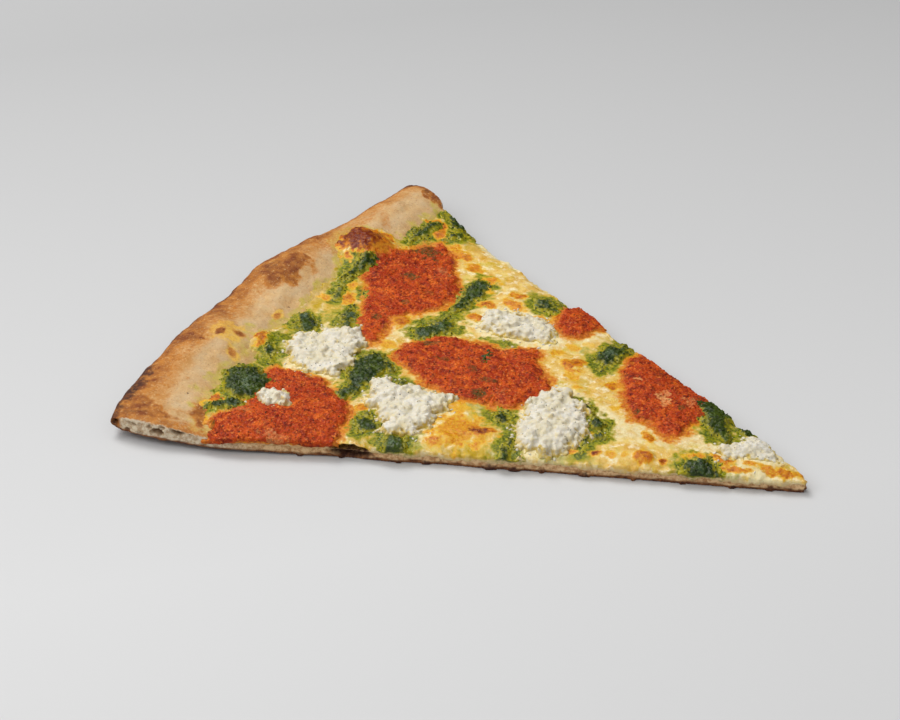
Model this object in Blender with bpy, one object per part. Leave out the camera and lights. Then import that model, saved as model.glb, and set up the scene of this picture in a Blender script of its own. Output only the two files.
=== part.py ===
"""A slice of thin pizza: a rimmed base, a blanket of melted cheese, pools of vodka sauce, ricotta and pesto.

Metres, +Z up. The slice lies flat with its tip towards +X and its rim towards -X, and the origin is under
the middle of its box. Shapes are first worked out around the point where the two cuts would meet: a place on
the slice is a distance from that point, and an angle in degrees, minus at the front cut and plus at the back.
"""

import math

import bmesh
import bpy
from mathutils import Matrix, Vector, noise
from mathutils.bvhtree import BVHTree

MM = 0.001

# The pie it was cut from, and the cut.
PIE_RADIUS = 229 * MM
TIP_START = 1.3 * MM
HALF_ANGLE = 24.2
CUT_OFFSET = 0.7 * MM
FRONT_CORNER_PULL = 0.8
BACK_CORNER_PULL = 0.2
CORNER_PULL_SPAN = (212 * MM, 234 * MM)
CUT_WOBBLE = 0.3
CUT_WOBBLE_LENGTH = 16 * MM
CUT_WOBBLE_START = 40 * MM

# The dough.
BASE_THICKNESS = 3.2 * MM
RIM_HEIGHT = 10.6 * MM
RIM_FALL = 30 * MM
NOSE_DEPTH = 12 * MM
NOSE_SHARE = 0.5
UNDERCUT = 9 * MM
NOSE_WALL = 0.8 * MM
BASE_SWELL = 0.35 * MM

# How far the underside stands off the table, with the distances and angles over which it rises.
FRONT_LIFT = 1.9 * MM
FRONT_LIFT_SPAN = (150 * MM, 222 * MM)
FRONT_LIFT_ANGLES = (-10, -24)
BACK_LIFT = 1.6 * MM
BACK_LIFT_SPAN = (175 * MM, 225 * MM)
BACK_LIFT_ANGLES = (14, 24)
RIM_LIFT = 0.7 * MM
RIM_LIFT_SPAN = (203 * MM, 222 * MM)
UPPER_LIFT_SHARE = 0.8

# The cheese, and what lies on it.
CHEESE_THICKNESS = 3.0 * MM
CHEESE_REACH = 200 * MM
CHEESE_RAGGED = 2.0 * MM
CHEESE_SWELL = 0.45 * MM
CHEESE_RIPPLE = 0.2 * MM
GAP = 0.35 * MM
CUT_MARGIN = 0.7 * MM

# What is left of the cheese's thickness at its ends, and over what length it thins: at the front cut, at the
# back cut, at the rim and at the tip.
FRONT_SLUMP = 0.42
BACK_SLUMP = 0.6
SLUMP_LENGTH = 5.5 * MM
RIM_THINNED = 0.16
RIM_THIN_LENGTH = 11 * MM
TIP_THINNED = 0.5
TIP_THIN_END = 16 * MM

# How full a topping's edge is, as a share of its thickness, where it is cut and where it ends by itself. The
# bluntness is the power by which it falls off towards its edge: the higher, the flatter its top.
CUT_EDGE = 0.8
OWN_EDGE = 0.3
SAUCE_BLUNT = 5
RICOTTA_BLUNT = 3
PESTO_BLUNT = 4

# Hills along the rim, as angle, width in degrees and rise: of its crest, of its outer edge, of the cheese.
CREST_HILLS = (
    (6, 4, 3.7 * MM),
    (-1, 3, -3.4 * MM),
    (-9.5, 3, 2.0 * MM),
    (-18, 3, -1.5 * MM),
    (-25, 5, -2.5 * MM),
    (19, 5, 3.1 * MM),
)
OUTLINE_HILLS = ((25, 4.5, 10.0 * MM), (-24, 7, 1.9 * MM), (3, 6, 1.0 * MM), (-8, 6, -1.5 * MM))
CHEESE_HILLS = (
    (13.2, 2.6, 13 * MM),
    (24, 4, 12 * MM),
    (9, 2.5, 3 * MM),
    (-7, 2.5, 4 * MM),
    (-11, 1.5, -2 * MM),
    (-15, 2.2, 3 * MM),
    (-20, 3, 4 * MM),
    (-26, 2, -5 * MM),
)

# Hills along each cut, as distance from the point, width and how far the cut bulges out there.
FRONT_BULGES = ((195 * MM, 20 * MM, 2.3 * MM), (90 * MM, 40 * MM, -0.4 * MM))
BACK_BULGES = ((222 * MM, 9 * MM, 2.6 * MM), (119 * MM, 8 * MM, 1.6 * MM), (97 * MM, 9 * MM, 0.5 * MM))

# Domes on the cheese, as x, y, radius and rise: the blistered bubble at the rim, and lesser swellings.
DOMES = (
    (-203 * MM, 46 * MM, 10 * MM, 3.2 * MM),
    (-112 * MM, -40 * MM, 12 * MM, 0.8 * MM),
    (-137 * MM, 47 * MM, 9 * MM, 0.7 * MM),
    (-97 * MM, 18 * MM, 7 * MM, 0.6 * MM),
    (-51 * MM, -18 * MM, 6 * MM, 0.6 * MM),
)

# Grid stations: along the cheese, along the bare rim, and from cut to cut.
CHEESE_ROWS = 26
RIM_ROWS = 9
COLUMNS = 19

# The sauce: the thickness of each pool, and places round its outline as x and y in millimetres.
SAUCE = {
    "sauce_rim": (
        1.6,
        *((-182, 67), (-175, 64), (-168, 53), (-158, 42), (-157, 31), (-164, 19), (-169, 13), (-165, 2)),
        *((-165, -8), (-170, -1), (-176, 3), (-180, 13), (-184, 22), (-191, 29), (-194, 42), (-189, 56)),
    ),
    "sauce_middle": (
        1.7,
        *((-154, -1), (-145, 12), (-130, 13), (-120, 16), (-114, 22), (-107, 11), (-97, 1), (-98, -9)),
        *((-103, -16), (-116, -19), (-130, -19), (-142, -14), (-152, -8)),
    ),
    "sauce_front": (
        1.6,
        *((-184, -38), (-172, -36), (-158, -39), (-146, -47), (-143, -57), (-139, -68), (-142, -80)),
        *((-158, -86), (-176, -86), (-182, -74), (-178, -64), (-180, -50)),
    ),
    "sauce_tip": (
        1.7,
        *((-82, 38), (-70, 38), (-54, 30), (-46, 18), (-46, 8), (-45, -1), (-50, -5), (-57, 1), (-62, -1)),
        *((-70, 6), (-77, 17), (-82, 28)),
    ),
    "sauce_back": (1.5, (-118, 55), (-104, 55), (-103, 45), (-107, 36), (-112, 35), (-118, 43)),
}

# The same for the ricotta.
RICOTTA = {
    "ricotta_rim": (
        3.2,
        *((-176, -1), (-168, -3), (-165, -13), (-163, -24), (-164, -31), (-174, -33), (-186, -28)),
        *((-188, -16), (-184, -7)),
    ),
    "ricotta_middle": (
        4.0,
        *((-149, -24), (-137, -25), (-130, -22), (-122, -22), (-120, -35), (-121, -48), (-130, -51)),
        *((-136, -43), (-146, -36)),
    ),
    "ricotta_tip": (
        4.2,
        *((-94, 1), (-84, -2), (-76, -9), (-72, -20), (-74, -29), (-85, -36), (-93, -27), (-95, -17)),
        *((-99, -9),),
    ),
    "ricotta_back": (3.0, (-140, 36), (-128, 38), (-117, 38), (-112, 29), (-120, 24), (-130, 23), (-139, 25)),
    "ricotta_crumb": (2.4, (-174, -50), (-168, -51), (-164, -56), (-168, -60), (-176, -58)),
    "ricotta_point": (1.9, (-26, 13), (-18, 8), (-15, 3), (-20, -2), (-28, -4), (-33, -1), (-28, 4)),
}

# The same for the pesto's irregular patches.
PESTO_PATCHES = {
    "pesto_long": (
        2.1,
        *((-158, -9), (-152, -11), (-148, -18), (-149, -30), (-150, -40), (-155, -42), (-159, -32)),
        *((-164, -23), (-165, -15)),
    ),
    "pesto_heel": (1.9, (-152, 25), (-145, 20), (-146, 12), (-153, 6), (-159, 10), (-156, 18)),
    "pesto_corner": (
        2.0,
        *((-190, -41), (-180, -43), (-176, -50), (-176, -58), (-183, -61), (-191, -57), (-196, -49)),
    ),
}

# Dollops of pesto, in millimetres: x, y, length, width, the way the length points in degrees, how far its
# ends are bent to the left of that way, and thickness.
PESTO = (
    (-191, 70, 22, 7, 88, 0, 1.6),
    (-187, 83, 15, 6, 145, 0, 1.3),
    (-180, 76, 10, 7, 70, 0, 1.3),
    (-196, 34, 21, 7, 80, 0, 1.6),
    (-194, 17, 12, 5, 100, 0, 1.1),
    (-184, 23, 9, 6, 150, 0, 1.0),
    (-181, 4, 18, 8, 120, 0, 1.2),
    (-193, -6, 18, 9, 125, 0, 1.8),
    (-190, -31, 13, 7, 125, 0, 1.5),
    (-183, -65, 12, 10, 90, 0, 1.5),
    (-153, 42, 28, 10, 95, 1, 2.0),
    (-125, 7, 11, 10, 110, 0, 1.3),
    (-126, 49, 15, 9, 160, 0, 1.6),
    (-90, 32, 21, 10, 88, 0, 1.8),
    (-40, 12, 26, 11, 140, 0, 1.8),
    (-28, 13, 8, 6, 0, 0, 1.6),
    (-74, -8, 27, 5, 134, 2, 1.4),
    (-70, -22, 11, 5, 108, 0, 1.3),
    (-138, -50, 13, 10, 150, 0, 1.7),
    (-124, -53, 11, 8, 10, 0, 1.8),
    (-101, -23, 13, 8, 140, 0, 1.5),
    (-91, -37, 14, 6, 103, 0, 1.5),
    (-140, -23, 9, 4.5, 165, 0, 1.0),
    (-33, -12, 13, 8, 20, 0, 1.3),
)

POOL_SEGMENTS = 26
RICOTTA_SEGMENTS = 18
PATCH_SEGMENTS = 16
DOLLOP_SEGMENTS = 11
DROP_RINGS = 6
SPLINE_STEP_SAMPLES = 8

# Places on a triangle, as shares of its corners, where a drop's clearance is looked at.
THIRDS = [(i / 3, j / 3, (3 - i - j) / 3) for i in range(4) for j in range(4 - i)]
FACE_SAMPLES = [weights for weights in THIRDS if max(weights) < 1]


def clear_scene():
    for obj in list(bpy.data.objects):
        bpy.data.objects.remove(obj, do_unlink=True)


def food_material(name, colour, roughness):
    """A matt or moist food: its colour as linear red, green and blue, and no metal."""
    material = bpy.data.materials.new(name)
    material.use_nodes = True
    shader = material.node_tree.nodes["Principled BSDF"]
    shader.inputs["Base Color"].default_value = (*colour, 1)
    shader.inputs["Roughness"].default_value = roughness
    shader.inputs["Metallic"].default_value = 0
    return material


def smooth(low, high, x):
    """0 below low, 1 above high, and an S-curve between them."""
    share = max(0.0, min(1.0, (x - low) / (high - low)))
    return share * share * (3 - 2 * share)


def hills(table, where):
    """The sum of smooth hills of a table at this angle or distance."""
    return sum(rise * math.exp(-(((where - at) / width) ** 2)) for at, width, rise in table)


def uneven(x, y, size, seed):
    """Smooth noise from about -1 to 1, with lumps of this size."""
    return noise.noise(Vector((x / size, y / size, seed)))


def outer_radius(angle):
    return PIE_RADIUS + hills(OUTLINE_HILLS, angle)


def cheese_radius(angle):
    """How far from the tip the melted cheese reaches."""
    ragged = CHEESE_RAGGED * noise.noise(Vector((angle / 2.2, 0, 7)))
    return CHEESE_REACH + hills(CHEESE_HILLS, angle) + ragged


def cut_angle(distance, side):
    """The angle of the front (-1) or back (+1) cut, which misses the point by a little.

    Its corner at the rim is pulled in.
    """
    bulges = BACK_BULGES if side > 0 else FRONT_BULGES
    wider = math.degrees(math.atan((CUT_OFFSET + hills(bulges, distance)) / distance))
    pull = BACK_CORNER_PULL if side > 0 else FRONT_CORNER_PULL
    corner = pull * smooth(*CORNER_PULL_SPAN, distance)
    wobble = CUT_WOBBLE * noise.noise(Vector((distance / CUT_WOBBLE_LENGTH, side * 3.0, 1)))
    return side * (HALF_ANGLE + wider - corner + wobble * min(1, distance / CUT_WOBBLE_START))


def place(distance, angle):
    """x and y of a distance and an angle."""
    turn = math.radians(angle)
    return -distance * math.cos(turn), distance * math.sin(turn)


def from_edge(distance, angle):
    """How far a place is from the nearer cut, in metres."""
    gap = min(angle - cut_angle(distance, -1), cut_angle(distance, 1) - angle)
    return distance * math.radians(max(0.0, gap))


def lift(distance, angle):
    """How far the underside stands off the table: at the front corner most, and a little round the rim."""
    front = FRONT_LIFT * smooth(*FRONT_LIFT_SPAN, distance) * smooth(*FRONT_LIFT_ANGLES, angle)
    back = BACK_LIFT * smooth(*BACK_LIFT_SPAN, distance) * smooth(*BACK_LIFT_ANGLES, angle)
    rim = RIM_LIFT * smooth(*RIM_LIFT_SPAN, distance)
    return front + back + rim


def rim_crest(angle):
    return RIM_HEIGHT + hills(CREST_HILLS, angle)


def nose_height(angle):
    """Height of the rim's outermost line."""
    low = lift(PIE_RADIUS, angle)
    return low + NOSE_SHARE * (rim_crest(angle) - low)


def dough_top(distance, angle):
    """Height of the dough's upper skin: a thin base that climbs to the rim's crest and rounds over."""
    x, y = place(distance, angle)
    inward = outer_radius(angle) - distance
    crest = rim_crest(angle)
    base = BASE_THICKNESS + lift(distance, angle) * UPPER_LIFT_SHARE
    base += BASE_SWELL * uneven(x, y, 28 * MM, 2)
    if inward >= NOSE_DEPTH:
        climb = 1 - smooth(0, RIM_FALL, inward - NOSE_DEPTH)
        return base + (crest - base) * climb
    nose = nose_height(angle) + NOSE_WALL / 2
    around = (NOSE_DEPTH - inward) / NOSE_DEPTH
    return nose + (crest - nose) * math.sqrt(max(0.0, 1 - around**2))


def dough_bottom(distance, angle):
    """Height of the underside, which curls up to the rim's outermost line."""
    inward = outer_radius(angle) - distance
    low = lift(distance, angle)
    if inward >= UNDERCUT:
        return low
    nose = nose_height(angle) - NOSE_WALL / 2
    around = (UNDERCUT - inward) / UNDERCUT
    return nose - (nose - low) * math.sqrt(max(0.0, 1 - around**2))


def domes(x, y):
    """What the cheese's bubbles add to its height."""
    total = 0.0
    for at_x, at_y, radius, rise in DOMES:
        share = math.hypot(x - at_x, y - at_y) / radius
        if share < 1:
            total += rise * (1 - share * share) ** 2
    return total


def cheese_top(distance, angle):
    """Height of the cheese: even in the middle, slumped at the cuts, thin at the rim and the tip."""
    x, y = place(distance, angle)
    slumped = FRONT_SLUMP if angle < 0 else BACK_SLUMP
    at_cut = slumped + (1 - slumped) * smooth(0, SLUMP_LENGTH, from_edge(distance, angle))
    to_rim = cheese_radius(angle) - distance
    at_rim = RIM_THINNED + (1 - RIM_THINNED) * smooth(0, RIM_THIN_LENGTH, to_rim)
    at_tip = TIP_THINNED + (1 - TIP_THINNED) * smooth(TIP_START, TIP_THIN_END, distance)
    swell = CHEESE_SWELL * uneven(x, y, 17 * MM, 4) + CHEESE_RIPPLE * uneven(x, y, 7 * MM, 5)
    thickness = (CHEESE_THICKNESS + swell) * at_cut * at_rim * at_tip + domes(x, y)
    return dough_top(distance, angle) + GAP + thickness


def grid_solid(name, rows, shape):
    """A closed slab of rows by COLUMNS cells. shape gives a corner's place from its row, column and side."""
    mesh = bmesh.new()
    bmesh.ops.create_grid(mesh, x_segments=rows, y_segments=COLUMNS, size=1)
    upper = bmesh.ops.extrude_face_region(mesh, geom=mesh.faces[:])["geom"]
    raised = [v for v in upper if isinstance(v, bmesh.types.BMVert)]
    bmesh.ops.translate(mesh, verts=raised, vec=(0, 0, 1))
    for vertex in mesh.verts:
        row = round((vertex.co.x + 1) / 2 * rows)
        column = round((vertex.co.y + 1) / 2 * COLUMNS)
        vertex.co = shape(row, column, vertex.co.z > 0.5)
    bmesh.ops.recalc_face_normals(mesh, faces=mesh.faces)
    return finished(name, mesh)


def finished(name, mesh):
    """A new object from a bmesh, in triangles, shaded smooth with its cut edges sharp."""
    bmesh.ops.triangulate(mesh, faces=mesh.faces, quad_method="SHORT_EDGE")
    data = bpy.data.meshes.new(name)
    mesh.to_mesh(data)
    mesh.free()
    data.shade_smooth()
    data.set_sharp_from_angle(angle=math.radians(40))
    return bpy.data.objects.new(name, data)


def station(row, column):
    """Distance and angle of a grid corner. Columns crowd towards the cuts and rows towards the nose."""
    across = math.sin(math.pi / 2 * (2 * column / COLUMNS - 1))
    angle = HALF_ANGLE * across
    edge = cheese_radius(angle)
    if row <= CHEESE_ROWS:
        distance = TIP_START + (edge - TIP_START) * row / CHEESE_ROWS
    else:
        along = math.sin(math.pi / 2 * (row - CHEESE_ROWS) / RIM_ROWS)
        distance = edge + (outer_radius(angle) - edge) * along
    front, back = cut_angle(distance, -1), cut_angle(distance, 1)
    return distance, front + (back - front) * (across + 1) / 2


def make_dough():
    def corner(row, column, upper):
        distance, angle = station(row, column)
        height = dough_top(distance, angle) if upper else dough_bottom(distance, angle)
        return Vector((*place(distance, angle), height))

    return grid_solid("crust", CHEESE_ROWS + RIM_ROWS, corner)


def make_cheese():
    def corner(row, column, upper):
        distance, angle = station(row, column)
        height = cheese_top(distance, angle) if upper else dough_top(distance, angle) + GAP
        return Vector((*place(distance, angle), height))

    return grid_solid("cheese", CHEESE_ROWS, corner)


def closed_curve(points, samples):
    """Places spaced evenly along a smooth closed curve through the points."""
    count = len(points)
    dense = []
    for i in range(count):
        a, b, c, d = (Vector(points[(i + k) % count]) for k in (-1, 0, 1, 2))
        for step in range(SPLINE_STEP_SAMPLES):
            t = step / SPLINE_STEP_SAMPLES
            bend = 2 * b + (c - a) * t + (2 * a - 5 * b + 4 * c - d) * t**2
            dense.append((bend + (3 * b - a - 3 * c + d) * t**3) / 2)
    lengths = [0.0]
    for i, point in enumerate(dense):
        lengths.append(lengths[-1] + (dense[(i + 1) % len(dense)] - point).length)
    spaced = []
    at = 0
    for i in range(samples):
        goal = lengths[-1] * i / samples
        while lengths[at + 1] < goal:
            at += 1
        share = (goal - lengths[at]) / max(lengths[at + 1] - lengths[at], 1e-9)
        spaced.append(dense[at].lerp(dense[(at + 1) % len(dense)], share))
    return spaced


def dollop_outline(x, y, length, width, bend, turn, seed, samples):
    """An uneven oval with a few lobes, its ends bent sideways."""
    outline = []
    heading = Matrix.Rotation(math.radians(turn), 2)
    for i in range(samples):
        around = 2 * math.pi * i / samples
        lobes = 1 + 0.10 * math.cos(2 * around + 2.1 * seed) + 0.11 * math.cos(3 * around + 3.7 * seed)
        lobes += 0.05 * math.cos(5 * around + 1.3 * seed)
        oval = Vector((length / 2 * math.cos(around), width / 2 * math.sin(around))) * lobes
        oval.y += bend * math.cos(around) ** 2
        outline.append(Vector((x, y)) + heading @ oval)
    return outline


def kept_inside(point):
    """The point moved in from a cut that it crosses, and whether it was moved."""
    distance = point.length
    angle = math.degrees(math.atan2(point.y, -point.x))
    margin = math.degrees(CUT_MARGIN / distance)
    front, back = cut_angle(distance, -1) + margin, cut_angle(distance, 1) - margin
    held = max(front, min(back, angle))
    return Vector(place(distance, held)), held != angle


def height_under(trees, x, y):
    """The highest surface below a place."""
    top = Vector((x, y, 50 * MM))
    hits = [tree.ray_cast(top, Vector((0, 0, -1)))[0] for tree in trees]
    return max((hit.z for hit in hits if hit is not None), default=BASE_THICKNESS)


def tree_of(obj):
    return BVHTree.FromPolygons(
        [v.co.copy() for v in obj.data.vertices], [tuple(p.vertices) for p in obj.data.polygons]
    )


def make_drop(name, outline, thickness, trees, blunt):
    """A sphere pressed into an outline and laid on what is there: round edges, but upright along a cut."""
    segments = len(outline)
    if sum(outline[i - 1].cross(outline[i]) for i in range(segments)) < 0:
        outline = outline[::-1]
    rim, cut = zip(*(kept_inside(point) for point in outline))
    middle = sum(rim, Vector((0, 0))) / segments
    mesh = bmesh.new()
    bmesh.ops.create_uvsphere(mesh, u_segments=segments, v_segments=DROP_RINGS, radius=1)
    columns = {}
    for vertex in mesh.verts:
        reach = min(1.0, math.hypot(vertex.co.x, vertex.co.y))
        index = round(math.atan2(vertex.co.y, vertex.co.x) / (2 * math.pi) * segments) % segments
        spot = middle.lerp(rim[index], reach)
        edge = CUT_EDGE if cut[index] else OWN_EDGE
        level = edge + (1 - edge) * (1 - reach**blunt) if vertex.co.z > 0.01 else 0.0
        if abs(vertex.co.z) <= 0.01:
            level = edge / 2
        key = (round(reach, 3), index if reach > 0.01 else 0)
        columns.setdefault(key, []).append(vertex)
        vertex.co = Vector((*spot, height_under(trees, *spot) + GAP + level * thickness))
    bmesh.ops.triangulate(mesh, faces=mesh.faces, quad_method="SHORT_EDGE")
    settle(mesh, columns, trees)
    return finished(name, mesh)


def settle(mesh, columns, trees):
    """Raises a drop, column by column, wherever a face of its underside comes too near what it lies on."""
    column_of = {vertex: key for key, stack in columns.items() for vertex in stack}
    for _ in range(8):
        needs = {}
        for face in mesh.faces:
            face.normal_update()
            if face.normal.z > -0.1:
                continue
            for weights in FACE_SAMPLES:
                point = sum((v.co * w for v, w in zip(face.verts, weights)), Vector())
                need = height_under(trees, point.x, point.y) + 0.8 * GAP - point.z
                for vertex in face.verts:
                    key = column_of[vertex]
                    needs[key] = max(needs.get(key, 0), need)
        if max(needs.values()) <= 0:
            break
        for key, need in needs.items():
            for vertex in columns[key]:
                vertex.co.z += max(0, need)


def in_metres(points):
    return [(x * MM, y * MM) for x, y in points]


def main():
    clear_scene()
    collection = bpy.data.collections.new("pizza_slice")
    bpy.context.scene.collection.children.link(collection)
    slice_origin = bpy.data.objects.new("slice_origin", None)
    collection.objects.link(slice_origin)

    dough_finish = food_material("baked_dough", (0.62, 0.38, 0.17), 0.75)
    cheese_finish = food_material("melted_cheese", (0.80, 0.62, 0.27), 0.40)
    sauce_finish = food_material("vodka_sauce", (0.47, 0.05, 0.012), 0.45)
    ricotta_finish = food_material("ricotta", (0.78, 0.74, 0.62), 0.60)
    pesto_finish = food_material("pesto", (0.05, 0.085, 0.02), 0.45)

    made = [(make_dough(), dough_finish), (make_cheese(), cheese_finish)]
    trees = [tree_of(made[1][0]), tree_of(made[0][0])]

    def add_drop(name, outline, thickness, finish, blunt):
        drop = make_drop(name, outline, thickness * MM, trees, blunt)
        trees.append(tree_of(drop))
        made.append((drop, finish))

    def add_patches(patches, segments, finish, blunt):
        for name, (thickness, *points) in patches.items():
            add_drop(name, closed_curve(in_metres(points), segments), thickness, finish, blunt)

    add_patches(SAUCE, POOL_SEGMENTS, sauce_finish, SAUCE_BLUNT)
    add_patches(RICOTTA, RICOTTA_SEGMENTS, ricotta_finish, RICOTTA_BLUNT)
    add_patches(PESTO_PATCHES, PATCH_SEGMENTS, pesto_finish, PESTO_BLUNT)
    for number, (x, y, length, width, turn, bend, thickness) in enumerate(PESTO, 1):
        sizes = [value * MM for value in (x, y, length, width, bend)]
        outline = dollop_outline(*sizes, turn, number, DOLLOP_SEGMENTS)
        add_drop(f"pesto_{number:02d}", outline, thickness, pesto_finish, PESTO_BLUNT)

    corners = [v.co for obj, _ in made for v in obj.data.vertices]
    low = [min(c[axis] for c in corners) for axis in range(3)]
    high = [max(c[axis] for c in corners) for axis in range(3)]
    slice_origin.location = (-(low[0] + high[0]) / 2, -(low[1] + high[1]) / 2, -low[2])
    for obj, finish in made:
        obj.data.materials.append(finish)
        obj.parent = slice_origin
        collection.objects.link(obj)


main()
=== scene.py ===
# %% [markdown]
# # A slice of vodka sauce pizza
#
# The slice is a wedge of thin dough with a raised, blistered rim. A blanket of melted mozzarella covers it,
# and on the cheese lie pools of vodka sauce, dollops of ricotta and streaks of pesto. The CAD model gives
# the size and the place of every piece. This script gives each one its real surface.

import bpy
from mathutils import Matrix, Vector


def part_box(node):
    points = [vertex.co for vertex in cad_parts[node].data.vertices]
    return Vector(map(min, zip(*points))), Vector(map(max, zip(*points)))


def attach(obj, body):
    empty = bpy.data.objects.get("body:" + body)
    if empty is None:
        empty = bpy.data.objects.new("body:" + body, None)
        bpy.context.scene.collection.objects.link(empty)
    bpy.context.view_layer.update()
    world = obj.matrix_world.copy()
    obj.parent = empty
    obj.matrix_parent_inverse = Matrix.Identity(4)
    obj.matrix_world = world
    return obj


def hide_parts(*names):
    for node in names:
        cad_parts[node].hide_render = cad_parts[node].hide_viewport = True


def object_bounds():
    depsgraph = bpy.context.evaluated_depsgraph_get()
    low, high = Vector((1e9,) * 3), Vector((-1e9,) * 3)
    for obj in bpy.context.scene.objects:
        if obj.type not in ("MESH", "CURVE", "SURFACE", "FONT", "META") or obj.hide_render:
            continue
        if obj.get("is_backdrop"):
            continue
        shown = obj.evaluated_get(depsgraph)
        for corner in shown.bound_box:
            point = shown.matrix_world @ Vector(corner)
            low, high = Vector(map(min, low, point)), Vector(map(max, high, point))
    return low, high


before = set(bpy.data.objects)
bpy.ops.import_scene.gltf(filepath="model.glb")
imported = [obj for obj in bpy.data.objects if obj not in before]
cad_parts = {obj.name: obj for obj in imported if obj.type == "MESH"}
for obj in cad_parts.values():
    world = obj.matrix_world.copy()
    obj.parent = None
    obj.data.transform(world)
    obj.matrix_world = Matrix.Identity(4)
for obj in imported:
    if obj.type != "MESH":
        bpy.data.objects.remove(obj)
cad_box = [list(corner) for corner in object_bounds()]

import math

import bmesh
import bpy
import numpy as np
from mathutils import Vector
from mathutils.bvhtree import BVHTree
from mathutils.geometry import delaunay_2d_cdt

print("CAD nodes:", len(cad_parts), "in a box from", cad_box[0], "to", cad_box[1])

# %% [markdown]
# ## Measuring from the tip
#
# A pizza is cut through its middle, so everything on a slice is easiest to place from the point where its
# two cuts meet. Below, a place is in millimetres from that point: x runs from the rim (minus) to the tip
# (nought), and y from the front cut (minus) to the back cut. The blunt tip of the CAD crust shows where the
# point is.

# %% Places in millimetres from the tip
MM = 0.001
BLUNT_TIP = 0.8  # the point lies this far past the blunt tip
TIP_AIM = 0.4  # and this far to the front of the blunt tip's middle
AT_TIP = 0.01


def numbers_of(mesh, kind):
    """The places ("co") or the directions ("normal") of a mesh's vertices, as rows of three numbers."""
    values = np.zeros(len(mesh.vertices) * 3, np.float32)
    mesh.vertices.foreach_get(kind, values)
    return values.reshape(-1, 3).astype(float)


def corners_of(node):
    """The corners of a CAD node's triangles, in millimetres in the frame."""
    return numbers_of(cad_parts[node].data, "co") / MM


crust_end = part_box("crust")[1][0] / MM
crust_corners = corners_of("crust")
tip_corners = crust_corners[crust_corners[:, 0] > crust_end - AT_TIP]
tip_y = (tip_corners[:, 1].min() + tip_corners[:, 1].max()) / 2
POINT = np.array((crust_end + BLUNT_TIP, tip_y - TIP_AIM, 0))
print("the cuts meet at", POINT.round(2), "mm")

# %% [markdown]
# ## Tools for soft, uneven shapes
#
# Food has no straight lines, so nearly every shape and stain below is a plain shape bent by noise. These
# few functions work on whole arrays of places at once, which keeps a hundred thousand points quick: a soft
# step, smooth noise in any number of directions, and a jumble of cells for pores, grains and curds. Each
# call that draws at random has a seed of its own, a whole number, so that no two patterns match.


# %% Soft steps
def fade(start, stop, value):
    """0 before start, 1 past stop, and a soft curve between them. Stop may be the smaller one."""
    share = np.clip((value - start) / (stop - start), 0, 1)
    return share * share * (3 - 2 * share)


# %% Noise and cells
KEYS = 256  # how many random slopes or centres are drawn before they repeat
OCTAVE_SHIFT = 17.3  # keeps the octaves' zeros apart
FULL_SWING = 1.6  # brings the noise of slopes up to about -1 to 1


def noise(places, size, seed, octaves=1, keep=0.5):
    """Smooth noise from about -1 to 1 with lumps of this size, and finer and fainter ones for each octave."""
    draw = np.random.default_rng(seed)
    order = draw.permutation(KEYS)
    slopes = draw.normal(size=(KEYS, places.shape[1]))
    slopes /= np.linalg.norm(slopes, axis=1, keepdims=True)
    total = np.zeros(len(places))
    for octave in range(octaves):
        scaled = places * 2**octave / size + OCTAVE_SHIFT * octave
        cell = np.floor(scaled).astype(int)
        part = scaled - cell
        ease = part**3 * (part * (part * 6 - 15) + 10)
        for corner in np.ndindex(*(2,) * places.shape[1]):
            key = np.zeros(len(places), int)
            for axis, step in enumerate(corner):
                key = order[(key + cell[:, axis] + step) & (KEYS - 1)]
            weight = np.prod(np.where(corner, ease, 1 - ease), axis=1)
            total += keep**octave * weight * np.einsum("ij,ij->i", part - corner, slopes[key])
    return total * FULL_SWING


def jumble(places, size, seed):
    """The distance to the nearest of a jumble of centres, in cells of this size, and its own number."""
    draw = np.random.default_rng(seed)
    order = draw.permutation(KEYS)
    spots = draw.random((KEYS, places.shape[1]))
    marks = draw.random(KEYS)
    cell = np.floor(places / size).astype(int)
    nearest = np.full(len(places), 9.0)
    mark = np.zeros(len(places))
    for step in np.ndindex(*(3,) * places.shape[1]):
        near = cell + np.array(step) - 1
        key = np.zeros(len(places), int)
        for axis in range(places.shape[1]):
            key = order[(key + near[:, axis]) & (KEYS - 1)]
        away = np.linalg.norm(near + spots[key] - places / size, axis=1)
        closer = away < nearest
        nearest = np.where(closer, away, nearest)
        mark = np.where(closer, marks[key], mark)
    return nearest, mark


# %% Patches from a list
PATCH_FADES = (1.3, 0.5)  # a patch fades from nothing to full between these shares of its half width


def stains(flat, spots, seed, ragged=0.35, grain=4.0):
    """0 to 1 where patches lie. Each is x, y, length, width, turn of its length in degrees, strength."""
    wobble = ragged * noise(flat, grain, seed, 3, 0.6)
    total = np.zeros(len(flat))
    for x, y, length, width, turn, strength in spots:
        ahead = np.array((math.cos(math.radians(turn)), math.sin(math.radians(turn))))
        aside = np.array((-ahead[1], ahead[0]))
        offset = flat - (x, y)
        away = np.hypot(offset @ ahead / (length / 2), offset @ aside / (width / 2)) + wobble
        total = np.maximum(total, strength * fade(*PATCH_FADES, away))
    return total


# %% [markdown]
# ## Reading heights and outlines off the CAD model
#
# The new surfaces have to lie where the CAD solids are, but without their facets. Rays dropped on a fine
# grid read the height of the dough and of the cheese, and a blur a little wider than the grid rounds the
# facets away. The two cuts and each topping's outline are read off the same solids.


# %% Rays
RAY_START = 0.05  # metres above or below the board, well past every piece


def tree_of(node):
    return BVHTree.FromObject(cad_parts[node], bpy.context.evaluated_depsgraph_get())


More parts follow.
